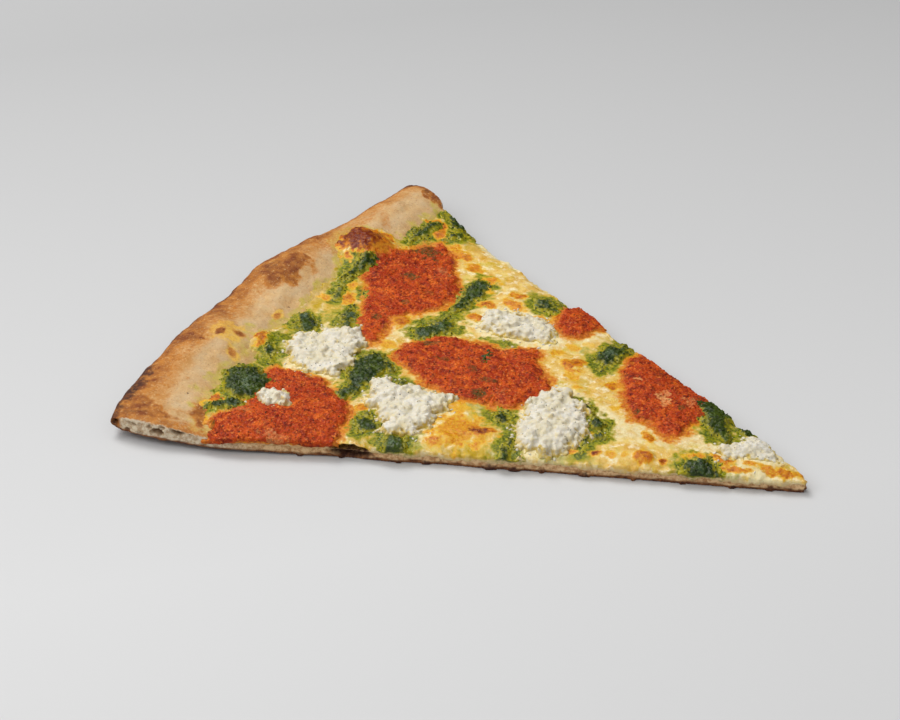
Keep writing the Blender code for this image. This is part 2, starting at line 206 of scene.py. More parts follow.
def height_at(tree, x, y, down=True):
    """Height in millimetres of what a ray meets that drops, or rises, at a place from the tip, or None."""
    start = Vector(((x + POINT[0]) * MM, (y + POINT[1]) * MM, RAY_START if down else -RAY_START))
    hit = tree.ray_cast(start, Vector((0, 0, -1 if down else 1)))[0]
    return None if hit is None else hit.z / MM


# %% Height maps
GRID_X = np.arange(-236, 4)
GRID_Y = np.arange(-102, 103)
MAP_BLUR = 1.6  # cells, which are a millimetre wide
TINY = 1e-9
WIDE_BLUR = 6  # times the blur, for what is carried on past the edge
ENOUGH = 0.02  # a share of known cells that is still worth reading


def blurred(grid, width):
    """A grid blurred along both of its directions, width in cells."""
    reach = np.arange(-math.ceil(3 * width), math.ceil(3 * width) + 1)
    kernel = np.exp(-0.5 * (reach / width) ** 2)
    for axis in (0, 1):
        grid = np.apply_along_axis(np.convolve, axis, grid, kernel / kernel.sum(), "same")
    return grid


def height_map(node, down=True):
    """Smoothed heights of a CAD node's top or underside, carried on past its edge, and where the node is."""
    tree = tree_of(node)
    heights = [[height_at(tree, x, y, down) for y in GRID_Y] for x in GRID_X]
    heights = np.array(heights, float)
    there = np.isfinite(heights).astype(float)
    heights = np.nan_to_num(heights)
    share, wide_share = blurred(there, MAP_BLUR), blurred(there, WIDE_BLUR * MAP_BLUR)
    wide = blurred(heights, WIDE_BLUR * MAP_BLUR) / np.maximum(wide_share, TINY)
    return np.where(share > ENOUGH, blurred(heights, MAP_BLUR) / np.maximum(share, TINY), wide), there


def read(grid, flat):
    """The value of a grid at places between its cells."""
    x = np.clip(flat[:, 0] - GRID_X[0], 0, len(GRID_X) - 1.001)
    y = np.clip(flat[:, 1] - GRID_Y[0], 0, len(GRID_Y) - 1.001)
    i, j = x.astype(int), y.astype(int)
    u, v = x - i, y - j
    low = grid[i, j] * (1 - v) + grid[i, j + 1] * v
    high = grid[i + 1, j] * (1 - v) + grid[i + 1, j + 1] * v
    return low * (1 - u) + high * u


dough_map, dough_there = height_map("crust")
under_map, _ = height_map("crust", down=False)
cheese_map, cheese_there = height_map("cheese")
print("dough up to", dough_map[dough_there > 0].max().round(1), "mm, cheese up to",
      cheese_map[cheese_there > 0].max().round(1), "mm")

# %% The two cuts
REACH, STEP = 232, 1.5
HALVINGS = 12
WIDEST_CUT, NARROWEST_CUT = math.radians(40), math.radians(12)
distances = np.arange(STEP, REACH, STEP)


def polar(distance, angle):
    """x and y of a distance from the point and an angle in radians, minus towards the front cut."""
    return np.stack((-distance * np.cos(angle), distance * np.sin(angle)), axis=-1)


def bearings(flat):
    """The distance from the point and the angle of every place."""
    return np.hypot(flat[:, 0], flat[:, 1]), np.arctan2(flat[:, 1], -flat[:, 0])


def last_inside(tree, inside, outside, place):
    """Where a line of places leaves a node: halving steps close in on its last place inside."""
    for _ in range(HALVINGS):
        middle = (inside + outside) / 2
        missed = height_at(tree, *place(middle)) is None
        inside, outside = (inside, middle) if missed else (middle, outside)
    return inside


def cut_line(side):
    """The angle of one cut at each distance."""
    tree = tree_of("crust")
    angles = np.array([
        last_inside(tree, 0.0, WIDEST_CUT, lambda angle: polar(distance, side * angle))
        for distance in distances
    ])
    known = angles > NARROWEST_CUT
    return side * np.interp(distances, distances[known], angles[known])


CUTS = {side: cut_line(side) for side in (-1, 1)}


def cut_angle(distance, side):
    return np.interp(distance, distances, CUTS[side])


def within_cut(flat, side):
    """How far a place is inside one cut, in millimetres: minus outside."""
    distance, angle = bearings(flat)
    return side * (cut_angle(distance, side) - angle) * distance


def within_cuts(flat):
    """How far a place is inside the nearer cut."""
    return np.minimum(within_cut(flat, -1), within_cut(flat, 1))


print("cuts at", [round(math.degrees(cut_angle(150, side)), 1) for side in (-1, 1)], "degrees")

# %% The rim's outer line
RIM_BETWEEN = (180.0, 260.0)
RIM_LOOKS = 90
SOFTENING = (0.1, 0.2, 0.4, 0.2, 0.1)


def rim_line():
    """How far the dough reaches from the point, for a row of angles."""
    tree = tree_of("crust")
    angles = np.linspace(cut_angle(REACH, -1), cut_angle(REACH, 1), RIM_LOOKS)
    reaches = [last_inside(tree, *RIM_BETWEEN, lambda distance: polar(distance, angle)) for angle in angles]
    return angles, np.convolve(np.pad(reaches, len(SOFTENING) // 2, "edge"), SOFTENING, "valid")


RIM_ANGLES, RIM_REACH = rim_line()


def from_rim(flat):
    """How far a place is from the rim's outer line, in millimetres."""
    distance, angle = bearings(flat)
    return np.interp(angle, RIM_ANGLES, RIM_REACH) - distance


print("the rim lies", RIM_REACH.min().round(), "to", RIM_REACH.max().round(), "mm from the point")


# %% Outlines of the toppings
SAME_PLACE = 1e-6  # metres
STRAIGHT_BACK = 1e-6  # radians, so that the way back comes last


def merged(node):
    """A CAD node's loose triangles as one skin, in a bmesh."""
    mesh = bmesh.new()
    mesh.from_mesh(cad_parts[node].data)
    bmesh.ops.remove_doubles(mesh, verts=mesh.verts, dist=SAME_PLACE)
    return mesh


def outline_of(node):
    """The outer line of a CAD topping, seen from above. The walk keeps right: at each corner it takes the
    edge that comes first when it turns from the way back through the open outside. Where the skin is folded
    the walk comes back to a corner, and what lies between is left out."""
    mesh = merged(node)
    start = max(mesh.verts, key=lambda vertex: vertex.co.x)
    line, here, way_back = [], start, 0.0
    while here is not start or not line:
        line.append(here.co[:2])
        ends = [edge.other_vert(here) for edge in here.link_edges]
        ways = [math.atan2(end.co.y - here.co.y, end.co.x - here.co.x) for end in ends]
        turns = [(way - way_back - STRAIGHT_BACK) % math.tau for way in ways]
        first = turns.index(min(turns))
        here, way_back = ends[first], ways[first] + math.pi
    mesh.free()
    kept, step = [], 0
    while step < len(line):
        kept.append(line[step])
        step = len(line) - line[::-1].index(line[step])
    return np.array(kept) / MM - POINT[:2]


# %% Inside and outside
def is_within(flat, starts, ends):
    """Whether each place is within closed lines of edges: a ray along +X then crosses an odd number."""
    crossings = np.zeros(len(flat), int)
    for a, b in zip(starts, ends):
        if a[1] != b[1]:
            straddles = (a[1] > flat[:, 1]) != (b[1] > flat[:, 1])
            at = a[0] + (b[0] - a[0]) * (flat[:, 1] - a[1]) / (b[1] - a[1])
            crossings += straddles & (flat[:, 0] < at)
    return crossings % 2 == 1


def inside_by(flat, outline):
    """How far each place is inside a closed outline, in millimetres: minus outside."""
    ends = np.roll(outline, -1, axis=0)
    away = np.full(len(flat), 1e9)
    for a, run in zip(outline, ends - outline):
        share = np.clip((flat - a) @ run / (run @ run), 0, 1)
        away = np.minimum(away, np.linalg.norm(flat - a - share[:, None] * run, axis=1))
    return np.where(is_within(flat, outline, ends), away, -away)


def thickness_of(node):
    """How far a CAD topping rises above the cheese it lies on."""
    corners = corners_of(node) - POINT
    return float((corners[:, 2] - read(cheese_map, corners[:, :2])).max())


# %% Toppings that reach a cut
KINDS = ("sauce", "ricotta", "pesto")
HALF_ANGLE = math.radians(24.4)
AT_CUT = 1.3
PAST_CUT = 8


def out_over(side):
    """The direction straight out over one cut."""
    return side * np.array((math.sin(side * HALF_ANGLE), math.cos(side * HALF_ANGLE)))


def past_the_cuts(outline):
    """The outline with its places on a cut moved well past it: a cut is no edge of the topping's own."""
    for side in (-1, 1):
        outline[within_cut(outline, side) < AT_CUT] += PAST_CUT * out_over(side)
    return outline


outlines = {node: past_the_cuts(outline_of(node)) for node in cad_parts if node.startswith(KINDS)}
thickness = {node: thickness_of(node) for node in outlines}
print({node: (len(line), round(thickness[node], 1)) for node, line in outlines.items()})

# %% [markdown]
# ## Skins, walls and closed slabs
#
# The cheese and every topping is a slab: a fine upper skin that carries the relief, a wall round it and a
# plain lower skin. The upper skin is a fan of nearly equal triangles from cut to cut, so the cuts are clean
# lines of its mesh. Where a slab ends on the slice, its upper skin dips under what it lies on, and the line
# where the two meet comes out thin and ragged like a real edge. At a cut its wall bulges out and hangs a
# little.

# %% A fan of triangles from cut to cut
ROW_SHARE = 0.866  # the height of a triangle with equal sides
FEWEST_STEPS = 3
JITTER = 0.12  # how far a place is shifted at random, as a share of the spacing


def zipped(first, n, second, m):
    """The triangles between two rows of n and m steps, taken in order of how far across each step ends."""
    across = np.concatenate((np.arange(1, n + 1) / n, np.arange(1, m + 1) / m))
    on_second = (np.arange(n + m) >= n)[np.argsort(across, kind="stable")]
    a = first + np.cumsum(~on_second)
    b = second + np.cumsum(on_second)
    return np.where(on_second[:, None], np.stack((b, b - 1, a), 1), np.stack((a - 1, a, b), 1))


def fan(spacing, start, stop, seed):
    """Places on arcs about the point, the triangles between them, and which places are on a cut."""
    arcs, firsts, steps = [], [0], []
    for distance in np.arange(start, stop, spacing * ROW_SHARE):
        ends = [cut_angle(distance, side) for side in (-1, 1)]
        steps.append(max(FEWEST_STEPS, round(distance * (ends[1] - ends[0]) / spacing)))
        arcs.append(polar(distance, np.linspace(*ends, steps[-1] + 1)))
        firsts.append(firsts[-1] + steps[-1] + 1)
    flat = np.concatenate(arcs)
    on_cut = np.zeros(len(flat), bool)
    on_cut[firsts[:-1]] = on_cut[np.array(firsts[1:]) - 1] = on_cut[: firsts[1]] = True
    shift = np.random.default_rng(seed).normal(0, JITTER * spacing, flat.shape)
    flat = np.where(on_cut[:, None], flat, flat + shift)
    rows = [zipped(firsts[i], steps[i], firsts[i + 1], steps[i + 1]) for i in range(len(steps) - 1)]
    return flat, np.concatenate(rows), on_cut


# %% The edge of a set of triangles
def border_of(triangles):
    """The edges that only one triangle has, with the triangle on their left."""
    edges = np.concatenate([triangles[:, pair] for pair in ([0, 1], [1, 2], [2, 0])])
    size = edges.max() + 1
    return edges[~np.isin(edges @ (size, 1), edges @ (1, size))]


def trimmed(triangles, kept):
    """The triangles whose corners are all kept, without those that meet others at a single corner."""
    triangles = triangles[kept[triangles].all(axis=1)]
    while True:
        corners, times = np.unique(border_of(triangles)[:, 0], return_counts=True)
        pinched = corners[times > 1]
        if not len(pinched):
            return triangles
        triangles = triangles[~np.isin(triangles, pinched).any(axis=1)]


# %% Pieces from places and faces
def show(name, data):
    """An object of this name in the scene."""
    thing = bpy.data.objects.new(name, data)
    bpy.context.scene.collection.objects.link(thing)
    return thing


def new_piece(name, places, faces, material):
    """A new mesh object from places in millimetres from the point, shaded smooth."""
    mesh = bpy.data.meshes.new(name)
    mesh.from_pydata(((places + POINT) * MM).tolist(), [], np.asarray(faces).tolist())
    mesh.shade_smooth()
    mesh.materials.append(material)
    return show(name, mesh)


def spots_of(piece):
    """A piece's places in millimetres from the point."""
    return numbers_of(piece.data, "co") / MM - POINT


def move_to(piece, places):
    """Moves a piece's vertices to places in millimetres from the point."""
    piece.data.vertices.foreach_set("co", ((places + POINT) * MM).astype(np.float32).ravel())


def dress(piece, material):
    """Gives a piece this one material."""
    piece.data.materials.clear()
    piece.data.materials.append(material)


def paint(piece, **layers):
    """Stores one number from 0 to 1 at every place of a piece, for its material to read by name."""
    for name, values in layers.items():
        layer = piece.data.attributes.new(name, "FLOAT", "POINT")
        layer.data.foreach_set("value", np.clip(values, 0, 1).astype(np.float32))


# %% A closed slab
WALL = ((0.12, 0.24), (0.3, 0.36), (0.55, 0.3), (0.8, 0.08), (1.0, -0.6))  # share of the way down, bulge
UNDER_CELL = 3.0  # the lower skin has about one place in each cell of this size
CELL_ROW = 1009  # more than any row has cells, so that every cell has its own number
WITHIN_LINES = 4  # the kind of Delaunay triangulation that keeps to the lines


def slab(name, flat, triangles, top, bottom, on_cut, material):
    """One closed piece. Top and bottom are heights at every place of the fan."""
    used = np.unique(triangles)
    renumber = np.zeros(len(flat), int)
    renumber[used] = np.arange(len(used))
    flat, top, bottom, on_cut = flat[used], top[used], bottom[used], on_cut[used]
    triangles = renumber[triangles]
    border = border_of(triangles)
    ring = np.unique(border)
    place = np.zeros(len(flat), int)
    place[ring] = np.arange(len(ring))
    run = flat[border[:, 1]] - flat[border[:, 0]]
    aside = np.stack((run[:, 1], -run[:, 0]), 1) / np.linalg.norm(run, axis=1, keepdims=True)
    outward = np.zeros((len(flat), 2))
    for end in (0, 1):
        np.add.at(outward, border[:, end], aside)
    outward /= np.maximum(np.linalg.norm(outward, axis=1, keepdims=True), TINY)

    places, faces = [np.column_stack((flat, top))], [triangles]
    upper = ring
    count = len(flat)
    for share, reach in WALL:
        pushed = flat[ring] + outward[ring] * (reach * on_cut[ring])[:, None]
        places.append(np.column_stack((pushed, top[ring] + share * (bottom[ring] - top[ring]))))
        lower = count + np.arange(len(ring))
        a, b = place[border[:, 0]], place[border[:, 1]]
        faces.append(np.stack((lower[a], lower[b], upper[b]), 1))
        faces.append(np.stack((lower[a], upper[b], upper[a]), 1))
        upper = lower
        count += len(ring)

    inner = np.setdiff1d(np.arange(len(flat)), ring)
    cells = np.floor(flat[inner] / UNDER_CELL).astype(int) @ (CELL_ROW, 1)
    sparse = inner[np.unique(cells, return_index=True)[1]]
    outline = np.concatenate((ring, sparse))
    ring_edges = place[border].tolist()
    under = delaunay_2d_cdt([Vector(spot) for spot in flat[outline]], ring_edges, [], WITHIN_LINES, 1e-7)
    number = np.array([origins[0] for origins in under[3]])
    skin = number[np.array(under[2])]
    filled = is_within(flat[outline][skin].mean(axis=1), flat[border[:, 0]], flat[border[:, 1]])
    below = np.concatenate((upper, count + np.arange(len(sparse))))
    places.append(np.column_stack((flat[sparse], bottom[sparse])))
    faces.append(below[skin[filled][:, ::-1]])
    print(name, "has", sum(map(len, faces)), "triangles")
    return new_piece(name, np.concatenate(places), np.concatenate(faces), material)


# %% [markdown]
# ## Building materials
#
# Every finish is a Principled shader whose colour is layered: a base, then one colour after another laid on
# where a painted layer or a noise says. One small helper adds any node with its settings and its links.

# %% Nodes and colours
def linear(code):
    """Linear red, green, blue and alpha of a colour written as sRGB hex."""
    parts = [int(code[i : i + 2], 16) / 255 for i in (1, 3, 5)]
    return *[p / 12.92 if p <= 0.04045 else ((p + 0.055) / 1.055) ** 2.4 for p in parts], 1.0


def add(tree, kind, inputs=None, **settings):
    """Adds a node. Inputs are values, hex colours or the sockets they come from, by their name or number."""
    node = tree.nodes.new(kind)
    for name, value in settings.items():
        setattr(node, name, value)
    for name, value in (inputs or {}).items():
        if isinstance(value, bpy.types.NodeSocket):
            tree.links.new(value, node.inputs[name])
        else:
            node.inputs[name].default_value = linear(value) if isinstance(value, str) else value
    return node


# %% Patterns
def lumpy(tree, size, detail=2, rough=0.5):
    """The socket of a noise from 0 to 1 with lumps of this size in millimetres, fixed to the piece."""
    where = add(tree, "ShaderNodeTexCoord").outputs["Object"]
    inputs = {"Vector": where, "Scale": 1 / (size * MM), "Detail": detail, "Roughness": rough}
    return add(tree, "ShaderNodeTexNoise", inputs).outputs["Fac"]


def broken_up(tree, pattern, size):
    """A pattern made uneven by specks of this size in millimetres."""
    specks = {"Value": lumpy(tree, size, 4, 0.65), "From Min": 0.3, "From Max": 0.7}
    uneven = add(tree, "ShaderNodeMapRange", specks | {"To Min": 0.45, "To Max": 1.45}).outputs["Result"]
    return add(tree, "ShaderNodeMath", {0: pattern, 1: uneven}, operation="MULTIPLY").outputs[0]


# %% Colours laid over each other
BELOW_IT, ON_TOP, MIXED = 6, 7, 2  # the numbers of the two colours and of the result on a mix of colours


def laid_over(tree, base, colour, pattern, low=0.0, high=1.0, most=1.0):
    """A colour laid over another, from nothing where a pattern is low to the most where it is high."""
    reach = {"Value": pattern, "From Min": low, "From Max": high, "To Max": most}
    share = add(tree, "ShaderNodeMapRange", reach).outputs["Result"]
    colours = {"Factor": share, BELOW_IT: base, ON_TOP: colour}
    return add(tree, "ShaderNodeMix", colours, data_type="RGBA").outputs[MIXED]


def mottled(tree, dark, light, size, low=0.35, high=0.65, detail=4, rough=0.65):
    """Two colours in soft patches of this size in millimetres."""
    return laid_over(tree, dark, light, lumpy(tree, size, detail, rough), low, high)


def layered(tree, colour, rows):
    """Colours laid on one after another. Each row is a colour, the painted layer that it follows or "" for
    bare specks, the size of its specks in millimetres or 0 for a plain layer, where it starts and is full,
    and the most that it covers."""
    for coat, layer, size, low, high, most in rows:
        if layer:
            pattern = add(tree, "ShaderNodeAttribute", attribute_name=layer).outputs["Fac"]
            pattern = broken_up(tree, pattern, size) if size else pattern
        else:
            pattern = lumpy(tree, size, 3, 0.7)
        colour = laid_over(tree, colour, coat, pattern, low, high, most)
    return colour


# %% Materials
def new_material(name, **constants):
    """A Principled material and its tree and shader, with the finish's own constants set on the shader."""
    material = bpy.data.materials.new(name)
    material.use_nodes = True
    shader = material.node_tree.nodes["Principled BSDF"]
    for socket, value in constants.items():
        shader.inputs[socket.replace("_", " ")].default_value = value
    return material, material.node_tree, shader


def finish_with(tree, shader, colour, gloss, roughness, height, depth):
    """Links a colour, a roughness and a bump. The roughness follows a pattern of gloss: its four numbers are
    where the pattern is low and high, and how rough it is there. The bump's depth is in millimetres."""
    names = ("From Min", "From Max", "To Min", "To Max")
    spread = {"Value": gloss, **dict(zip(names, roughness))}
    rough = add(tree, "ShaderNodeMapRange", spread).outputs["Result"]
    bump = add(tree, "ShaderNodeBump", {"Height": height, "Distance": depth * MM, "Strength": 1.0})
    tree.links.new(colour, shader.inputs["Base Color"])
    tree.links.new(rough, shader.inputs["Roughness"])
    tree.links.new(bump.outputs["Normal"], shader.inputs["Normal"])


# %% [markdown]
# ## Where the toppings and the stains lie
#
# The toppings' outlines come from the CAD nodes, roughened by noise: a spoonful of sauce has a softer edge
# than crumbled curds or chopped leaves. What is only colour, such as toasted bubbles, oil and green stains,
# is listed here as patches of x, y, length, width, turn and strength. The cheese's own edge on the
# rim is listed as places too.

# %% Edges of the toppings
ROUGHNESS = {"sauce": (1.4, 0.9), "ricotta": (2.4, 1.6), "pesto": (2.2, 1.5)}  # swing of wide and fine bends
REACH_OUT = {"sauce": 0.5, "ricotta": 0.6, "pesto": -0.2}
CALM_BELOW = 13.0  # a topping smaller than this has smaller bends, or they would cut it up
LOOK_ROUND = 9.0


def kind_of(node):
    return node.split("_")[0]


def covered(flat, node):
    """How far a place is inside a topping's own rough edge, in millimetres: minus outside."""
    outline = outlines[node]
    near = ((flat > outline.min(0) - LOOK_ROUND) & (flat < outline.max(0) + LOOK_ROUND)).all(axis=1)
    depth = np.full(len(flat), -LOOK_ROUND)
    calm = min(1.0, np.ptp(outline, axis=0).min() / CALM_BELOW)
    wide, fine = (calm * size for size in ROUGHNESS[kind_of(node)])
    seed = sorted(outlines).index(node)
    bend = wide * noise(flat[near], 6, 100 + seed, 2) + fine * noise(flat[near], 1.7, 200 + seed, 2, 0.7)
    depth[near] = inside_by(flat[near], outline) + REACH_OUT[kind_of(node)] + bend
    return depth


def deepest(flat, kind):
    """The same for the nearest topping of a kind."""
    return np.max([covered(flat, node) for node in outlines if kind_of(node) == kind], axis=0)


# %% Edge of the cheese on the rim
FRINGE = (
    (-178, -81), (-187, -73), (-192, -67), (-194, -55), (-197, -48), (-194, -40), (-194, -35), (-200, -30),
    (-202, -25), (-200, -15), (-199, 0), (-201, 12), (-200, 25), (-204, 34), (-211, 39), (-214, 46),
    (-211, 54), (-202, 59), (-195, 60), (-194, 71), (-195, 88),
)
fringe_reach, fringe_angle = bearings(np.array(FRINGE, float))


def within_fringe(flat):
    """How far a place is inside the ragged edge of the cheese on the rim, in millimetres."""
    distance, angle = bearings(flat)
    ragged = 1.5 * noise(flat, 5, 51, 2) + 1.1 * noise(flat, 1.8, 52, 2, 0.7)
    return np.interp(angle, fringe_angle, fringe_reach) - distance + ragged


print("the fringe of the cheese lies", fringe_reach.min().round(), "to", fringe_reach.max().round(), "mm out")


# %% Stains on the cheese
TOASTED = (
    (-202, 48, 22, 19, 20, 1.7), (-208, -32, 8, 9, 0, 1.0), (-199.5, -39, 3, 5, 60, 0.7),
    (-198, -25, 11, 5, 115, 0.9), (-204, -6.5, 2.5, 6, 20, 0.8), (-186, 73, 6, 9, 0, 0.9),
    (-170, 65, 8, 6, 0, 0.9), (-162.5, 60, 9, 6, -20, 0.8), (-152.5, 55, 8, 6, 0, 0.7),
    (-192, 24, 4, 6, 0, 0.7), (-189, 17, 6, 8, 0, 0.8), (-197, 12.5, 6, 4, 0, 0.7), (-165, 13, 8, 9, 0, 1.0),
    (-160, -3, 8, 7, 0, 0.6), (-138, 50, 7, 5, 0, 0.9), (-136, 44, 5, 12, 70, 0.8),
    (-145, 40, 5, 9, 100, 0.9), (-143, 30, 5, 10, 95, 0.9), (-114, 44, 9, 12, 90, 0.7),
    (-106.7, 24, 5, 6, 0, 0.6), (-98, 19, 9, 10, 0, 0.9), (-95, 12.5, 6, 4, 0, 0.6),
    (-89.5, 7.5, 4, 4, 0, 0.6), (-80, 15.5, 5, 9, 130, 0.9), (-84, 34, 4, 9, 100, 0.7),
    (-170, -35.5, 18, 5, 0, 1.0), (-144, -42, 6, 5, 0, 0.8), (-110, -37, 22, 20, -20, 0.7),
    (-103, -34, 6, 13, 110, 0.9), (-113, -46, 7, 5, 0, 0.8), (-50, -18, 7, 7, 0, 1.0),
    (-44, -16.5, 3, 3, 0, 1.0), (-65, -24, 4, 4, 0, 1.0), (-60, -22, 4, 4, 0, 0.6), (-56, -20, 3, 3, 0, 0.6),
    (-74, -28, 7, 3, 20, 0.8), (-54, -7, 7, 4, -40, 0.9), (-27.5, -6, 8, 5, 0, 0.9),
    (-19, -2.5, 7, 3, 10, 0.8), (-32.5, -11.5, 2.5, 2.5, 0, 0.9), (-8, -1, 8, 5, 20, 0.9),
    (-4, 1.5, 5, 3, 0, 0.7), (-118, -25, 14, 8, -30, 0.5), (-100, 34, 5, 5, 0, 0.3), (-72, 3, 4, 4, 0, 0.5),
    (-190, 78, 9, 7, 0, 1.0), (-199, 72, 6, 5, 0, 0.9), (-22, -8, 10, 3, 20, 0.9), (-12, -3, 6, 5, 0, 0.8),
    (-88, -28, 6, 5, 0, 0.6), (-36, -9, 7, 5, 20, 0.7), (-70, -16, 5, 4, 0, 0.4), (-122, 40, 8, 5, 0, 0.6),
    (-176, 68, 8, 6, 0, 0.7), (-150, 48, 6, 5, 0, 0.6), (-104, 30, 6, 4, 0, 0.5), (-182, -28, 5, 5, 0, 0.5),
    (-189, -64, 5, 16, 75, 1.0), (-186, -78, 14, 8, 120, 0.8), (-192, -69, 5, 6, 0, 0.6),
    (-188, 52, 4, 10, 90, 0.5),
)
SCORCHED = (
    (-204, 46, 15, 12, 20, 1.3), (-199, 51, 5, 9, 30, 0.8), (-208, -32, 3.5, 4, 0, 0.6),
    (-198, -24, 8, 3, 115, 0.6), (-172, -35, 4, 3, 0, 0.8), (-103, -34, 4, 9, 110, 0.9),
    (-65, -24, 3, 3, 0, 0.9), (-44, -16.5, 2, 2, 0, 0.8), (-50, -18, 3, 3, 0, 0.4), (-165, 13, 5, 5, 0, 0.4),
    (-98, 20, 5, 4, 0, 0.5), (-24, -9, 3, 1.5, 20, 0.6), (-14, -4, 2, 2, 0, 0.7), (-10, 2, 1.5, 2, 0, 0.8),
    (-14, 5, 5, 1.5, 150, 0.8), (-190, 78, 3, 3, 0, 0.6), (-36, -9, 3, 2, 0, 0.5), (-7, 1, 1.5, 1.5, 0, 0.8),
    (-116, 45, 3, 8, 90, 0.8), (-186, 73, 3, 6, 0, 0.5),
)
OILY = (
    (-186, -78, 18, 8, 120, 0.9), (-190, 10, 16, 10, 90, 0.8), (-202, 33, 8, 12, 60, 1.0),
    (-190, 30, 12, 10, 90, 0.8), (-197, 52, 9, 6, 60, 0.7), (-200, -33, 8, 8, 0, 0.7),
    (-128, 54, 16, 5, 155, 0.8), (-82, 25, 6, 12, 100, 0.7), (-40, -14, 12, 7, 25, 0.8),
    (-30, 4, 6, 8, 90, 0.8), (-100, -44, 20, 5, 25, 0.9), (-70, -30, 12, 5, 25, 0.7),
    (-130, -56, 18, 6, 25, 0.8), (-172, 72, 9, 8, 0, 0.7), (-150, 30, 12, 8, 90, 0.7),
    (-92, 12, 12, 6, 150, 0.6), (-176, 8, 8, 8, 0, 0.4), (-196, -12, 10, 16, 60, 0.9),
)
MILKY = (
    (-66, -8, 34, 16, 25, 0.7), (-44, -2, 22, 14, 25, 0.6), (-104, 40, 20, 12, 155, 0.5),
    (-80, 30, 16, 8, 155, 0.6), (-23, -9, 34, 6, 22, 1.3), (-74, -4, 18, 12, 150, 0.9),
    (-112, 12, 12, 6, 150, 0.4), (-162, 74, 24, 6, 155, 1.0), (-138, 64, 18, 4, 155, 0.8),
    (-136, 34, 26, 20, 0, 0.7), (-133, -36, 26, 28, 0, 0.6), (-84, -18, 26, 32, 0, 0.7),
    (-26, -2, 22, 14, 20, 0.9), (-172, -16, 24, 30, 0, 0.6), (-160, 8, 10, 12, 90, 0.6),
    (-16, 4, 14, 8, 20, 0.8), (-24, 14, 14, 8, 150, 0.8), (-188, 12, 5, 5, 0, 0.7),
    (-118, 28, 10, 12, 90, 0.5),
)
GREEN = (
    (-193, -20, 14, 9, 70, 0.9), (-188, -35, 8, 8, 0, 0.9), (-196, 22, 10, 6, 0, 0.8),
    (-199, 34, 9, 7, 0, 1.0), (-193, 38, 8, 8, 0, 0.8), (-186, 20, 8, 6, 0, 0.8),
    (-188, -62, 7, 16, 75, 1.0), (-188, 66, 8, 8, 0, 0.8), (-88, 22, 8, 8, 0, 0.8), (-99, 30, 6, 5, 0, 0.5),
    (-31, -12, 10, 5, 20, 0.7), (-78, -32, 8, 5, 20, 0.7), (-108, -22, 6, 10, 0, 0.6),
    (-104, -12, 6, 4, 0, 0.4), (-150, -70, 8, 6, 0, 0.5), (-155, 45, 4, 8, 0, 0.5),
    (-126, 18, 20, 7, 0, 0.9), (-91.5, 22, 6, 6, 0, 0.6), (-129, -28.6, 6, 3, 0, 1.0),
    (-188, -60, 4, 12, 75, 0.8), (-189, -70, 4, 10, 75, 0.5), (-9, -2, 2.5, 2.5, 0, 1.0),
    (-3, 4, 1.5, 1.5, 0, 1.0), (-133, 54, 10, 4, 155, 0.7), (-112, -20, 12, 8, -30, 0.5),
    (-190, 0, 14, 10, 60, 0.6), (-182, 10, 8, 10, 60, 0.7), (-118, -52, 8, 5, 30, 0.7),
    (-72, -31, 10, 4, 25, 0.5), (-24, -11, 12, 3, 25, 0.5), (-137, -56, 10, 7, 20, 0.8),
    (-186, -56, 13, 6, 10, 1.5),
)

# %% Stains on the sauce
PALE_ON_SAUCE = (
    (-74, 22, 4, 2, 0, 1.0), (-60, 14, 9, 4, -20, 0.9), (-61, 18, 6, 5, 0, 0.7), (-52, 18, 6, 6, 0, 0.6),
    (-170, 50, 12, 4, 160, 0.5), (-158, -72, 12, 5, 20, 0.6), (-120, 13, 14, 4, 170, 0.4),
    (-176, -66, 10, 6, 20, 0.5), (-148, 15, 6, 4, 0, 0.4), (-109, -10, 8, 4, 150, 0.4),
)
DARK_ON_SAUCE = (
    (-184, 60, 16, 8, 150, 1.0), (-147, 5, 9, 5, 0, 0.8), (-137, -2.5, 6, 4, 0, 0.7),
    (-125, -3, 5, 4, 0, 0.7), (-116, -6, 6, 4, 0, 0.7), (-115, -15, 9, 6, 0, 0.9), (-178, 41, 7, 6, 0, 0.8),
    (-187, 58, 6, 5, 0, 0.8), (-170, 24, 4, 4, 0, 0.7), (-173, 10, 5, 4, 0, 0.7), (-65, 4, 3, 3, 0, 0.8),
    (-52.5, 13, 3, 3, 0, 0.8), (-166, 34, 5, 4, 0, 0.5), (-180, -62, 5, 4, 0, 0.5),
    (-182.5, -77.5, 17, 5, 121, 1.3),
)

# %% [markdown]
# ## The dough
#
# The base and rim are one baked piece. Its CAD copy is first made whole again: loose triangles are merged
# and paired into quads, the cut edges are creased, and a subdivision rounds the facets. A voxel remesh then
# gives even, fine cells everywhere, which can be pushed about: bread pores are pressed into the cuts,
# wrinkles and bubbles into the rim. Where the cheese hides the dough, a decimate by a painted weight saves
# the triangles.

# %% The dough's shape
DOUGH_VOXEL = 0.45
CREASE_ANGLE = math.radians(50)


def whole_copy(node):
    """A CAD node's mesh as one closed skin, mostly of quads, with its sharp edges creased."""
    mesh = merged(node)
    bmesh.ops.join_triangles(mesh, faces=mesh.faces, angle_face_threshold=0.7, angle_shape_threshold=0.9)
    crease = mesh.edges.layers.float.new("crease_edge")
    for edge in mesh.edges:
        edge[crease] = float(edge.calc_face_angle(0) > CREASE_ANGLE)
    copy = bpy.data.meshes.new(node)
    mesh.to_mesh(copy)
    mesh.free()
    return show("dough", copy)


def made_plain(piece):
    """Turns a piece with modifiers into the plain mesh that they make."""
    evaluated = piece.evaluated_get(bpy.context.evaluated_depsgraph_get())
    mesh = bpy.data.meshes.new_from_object(evaluated)
    piece.modifiers.clear()
    piece.data = mesh
    return piece


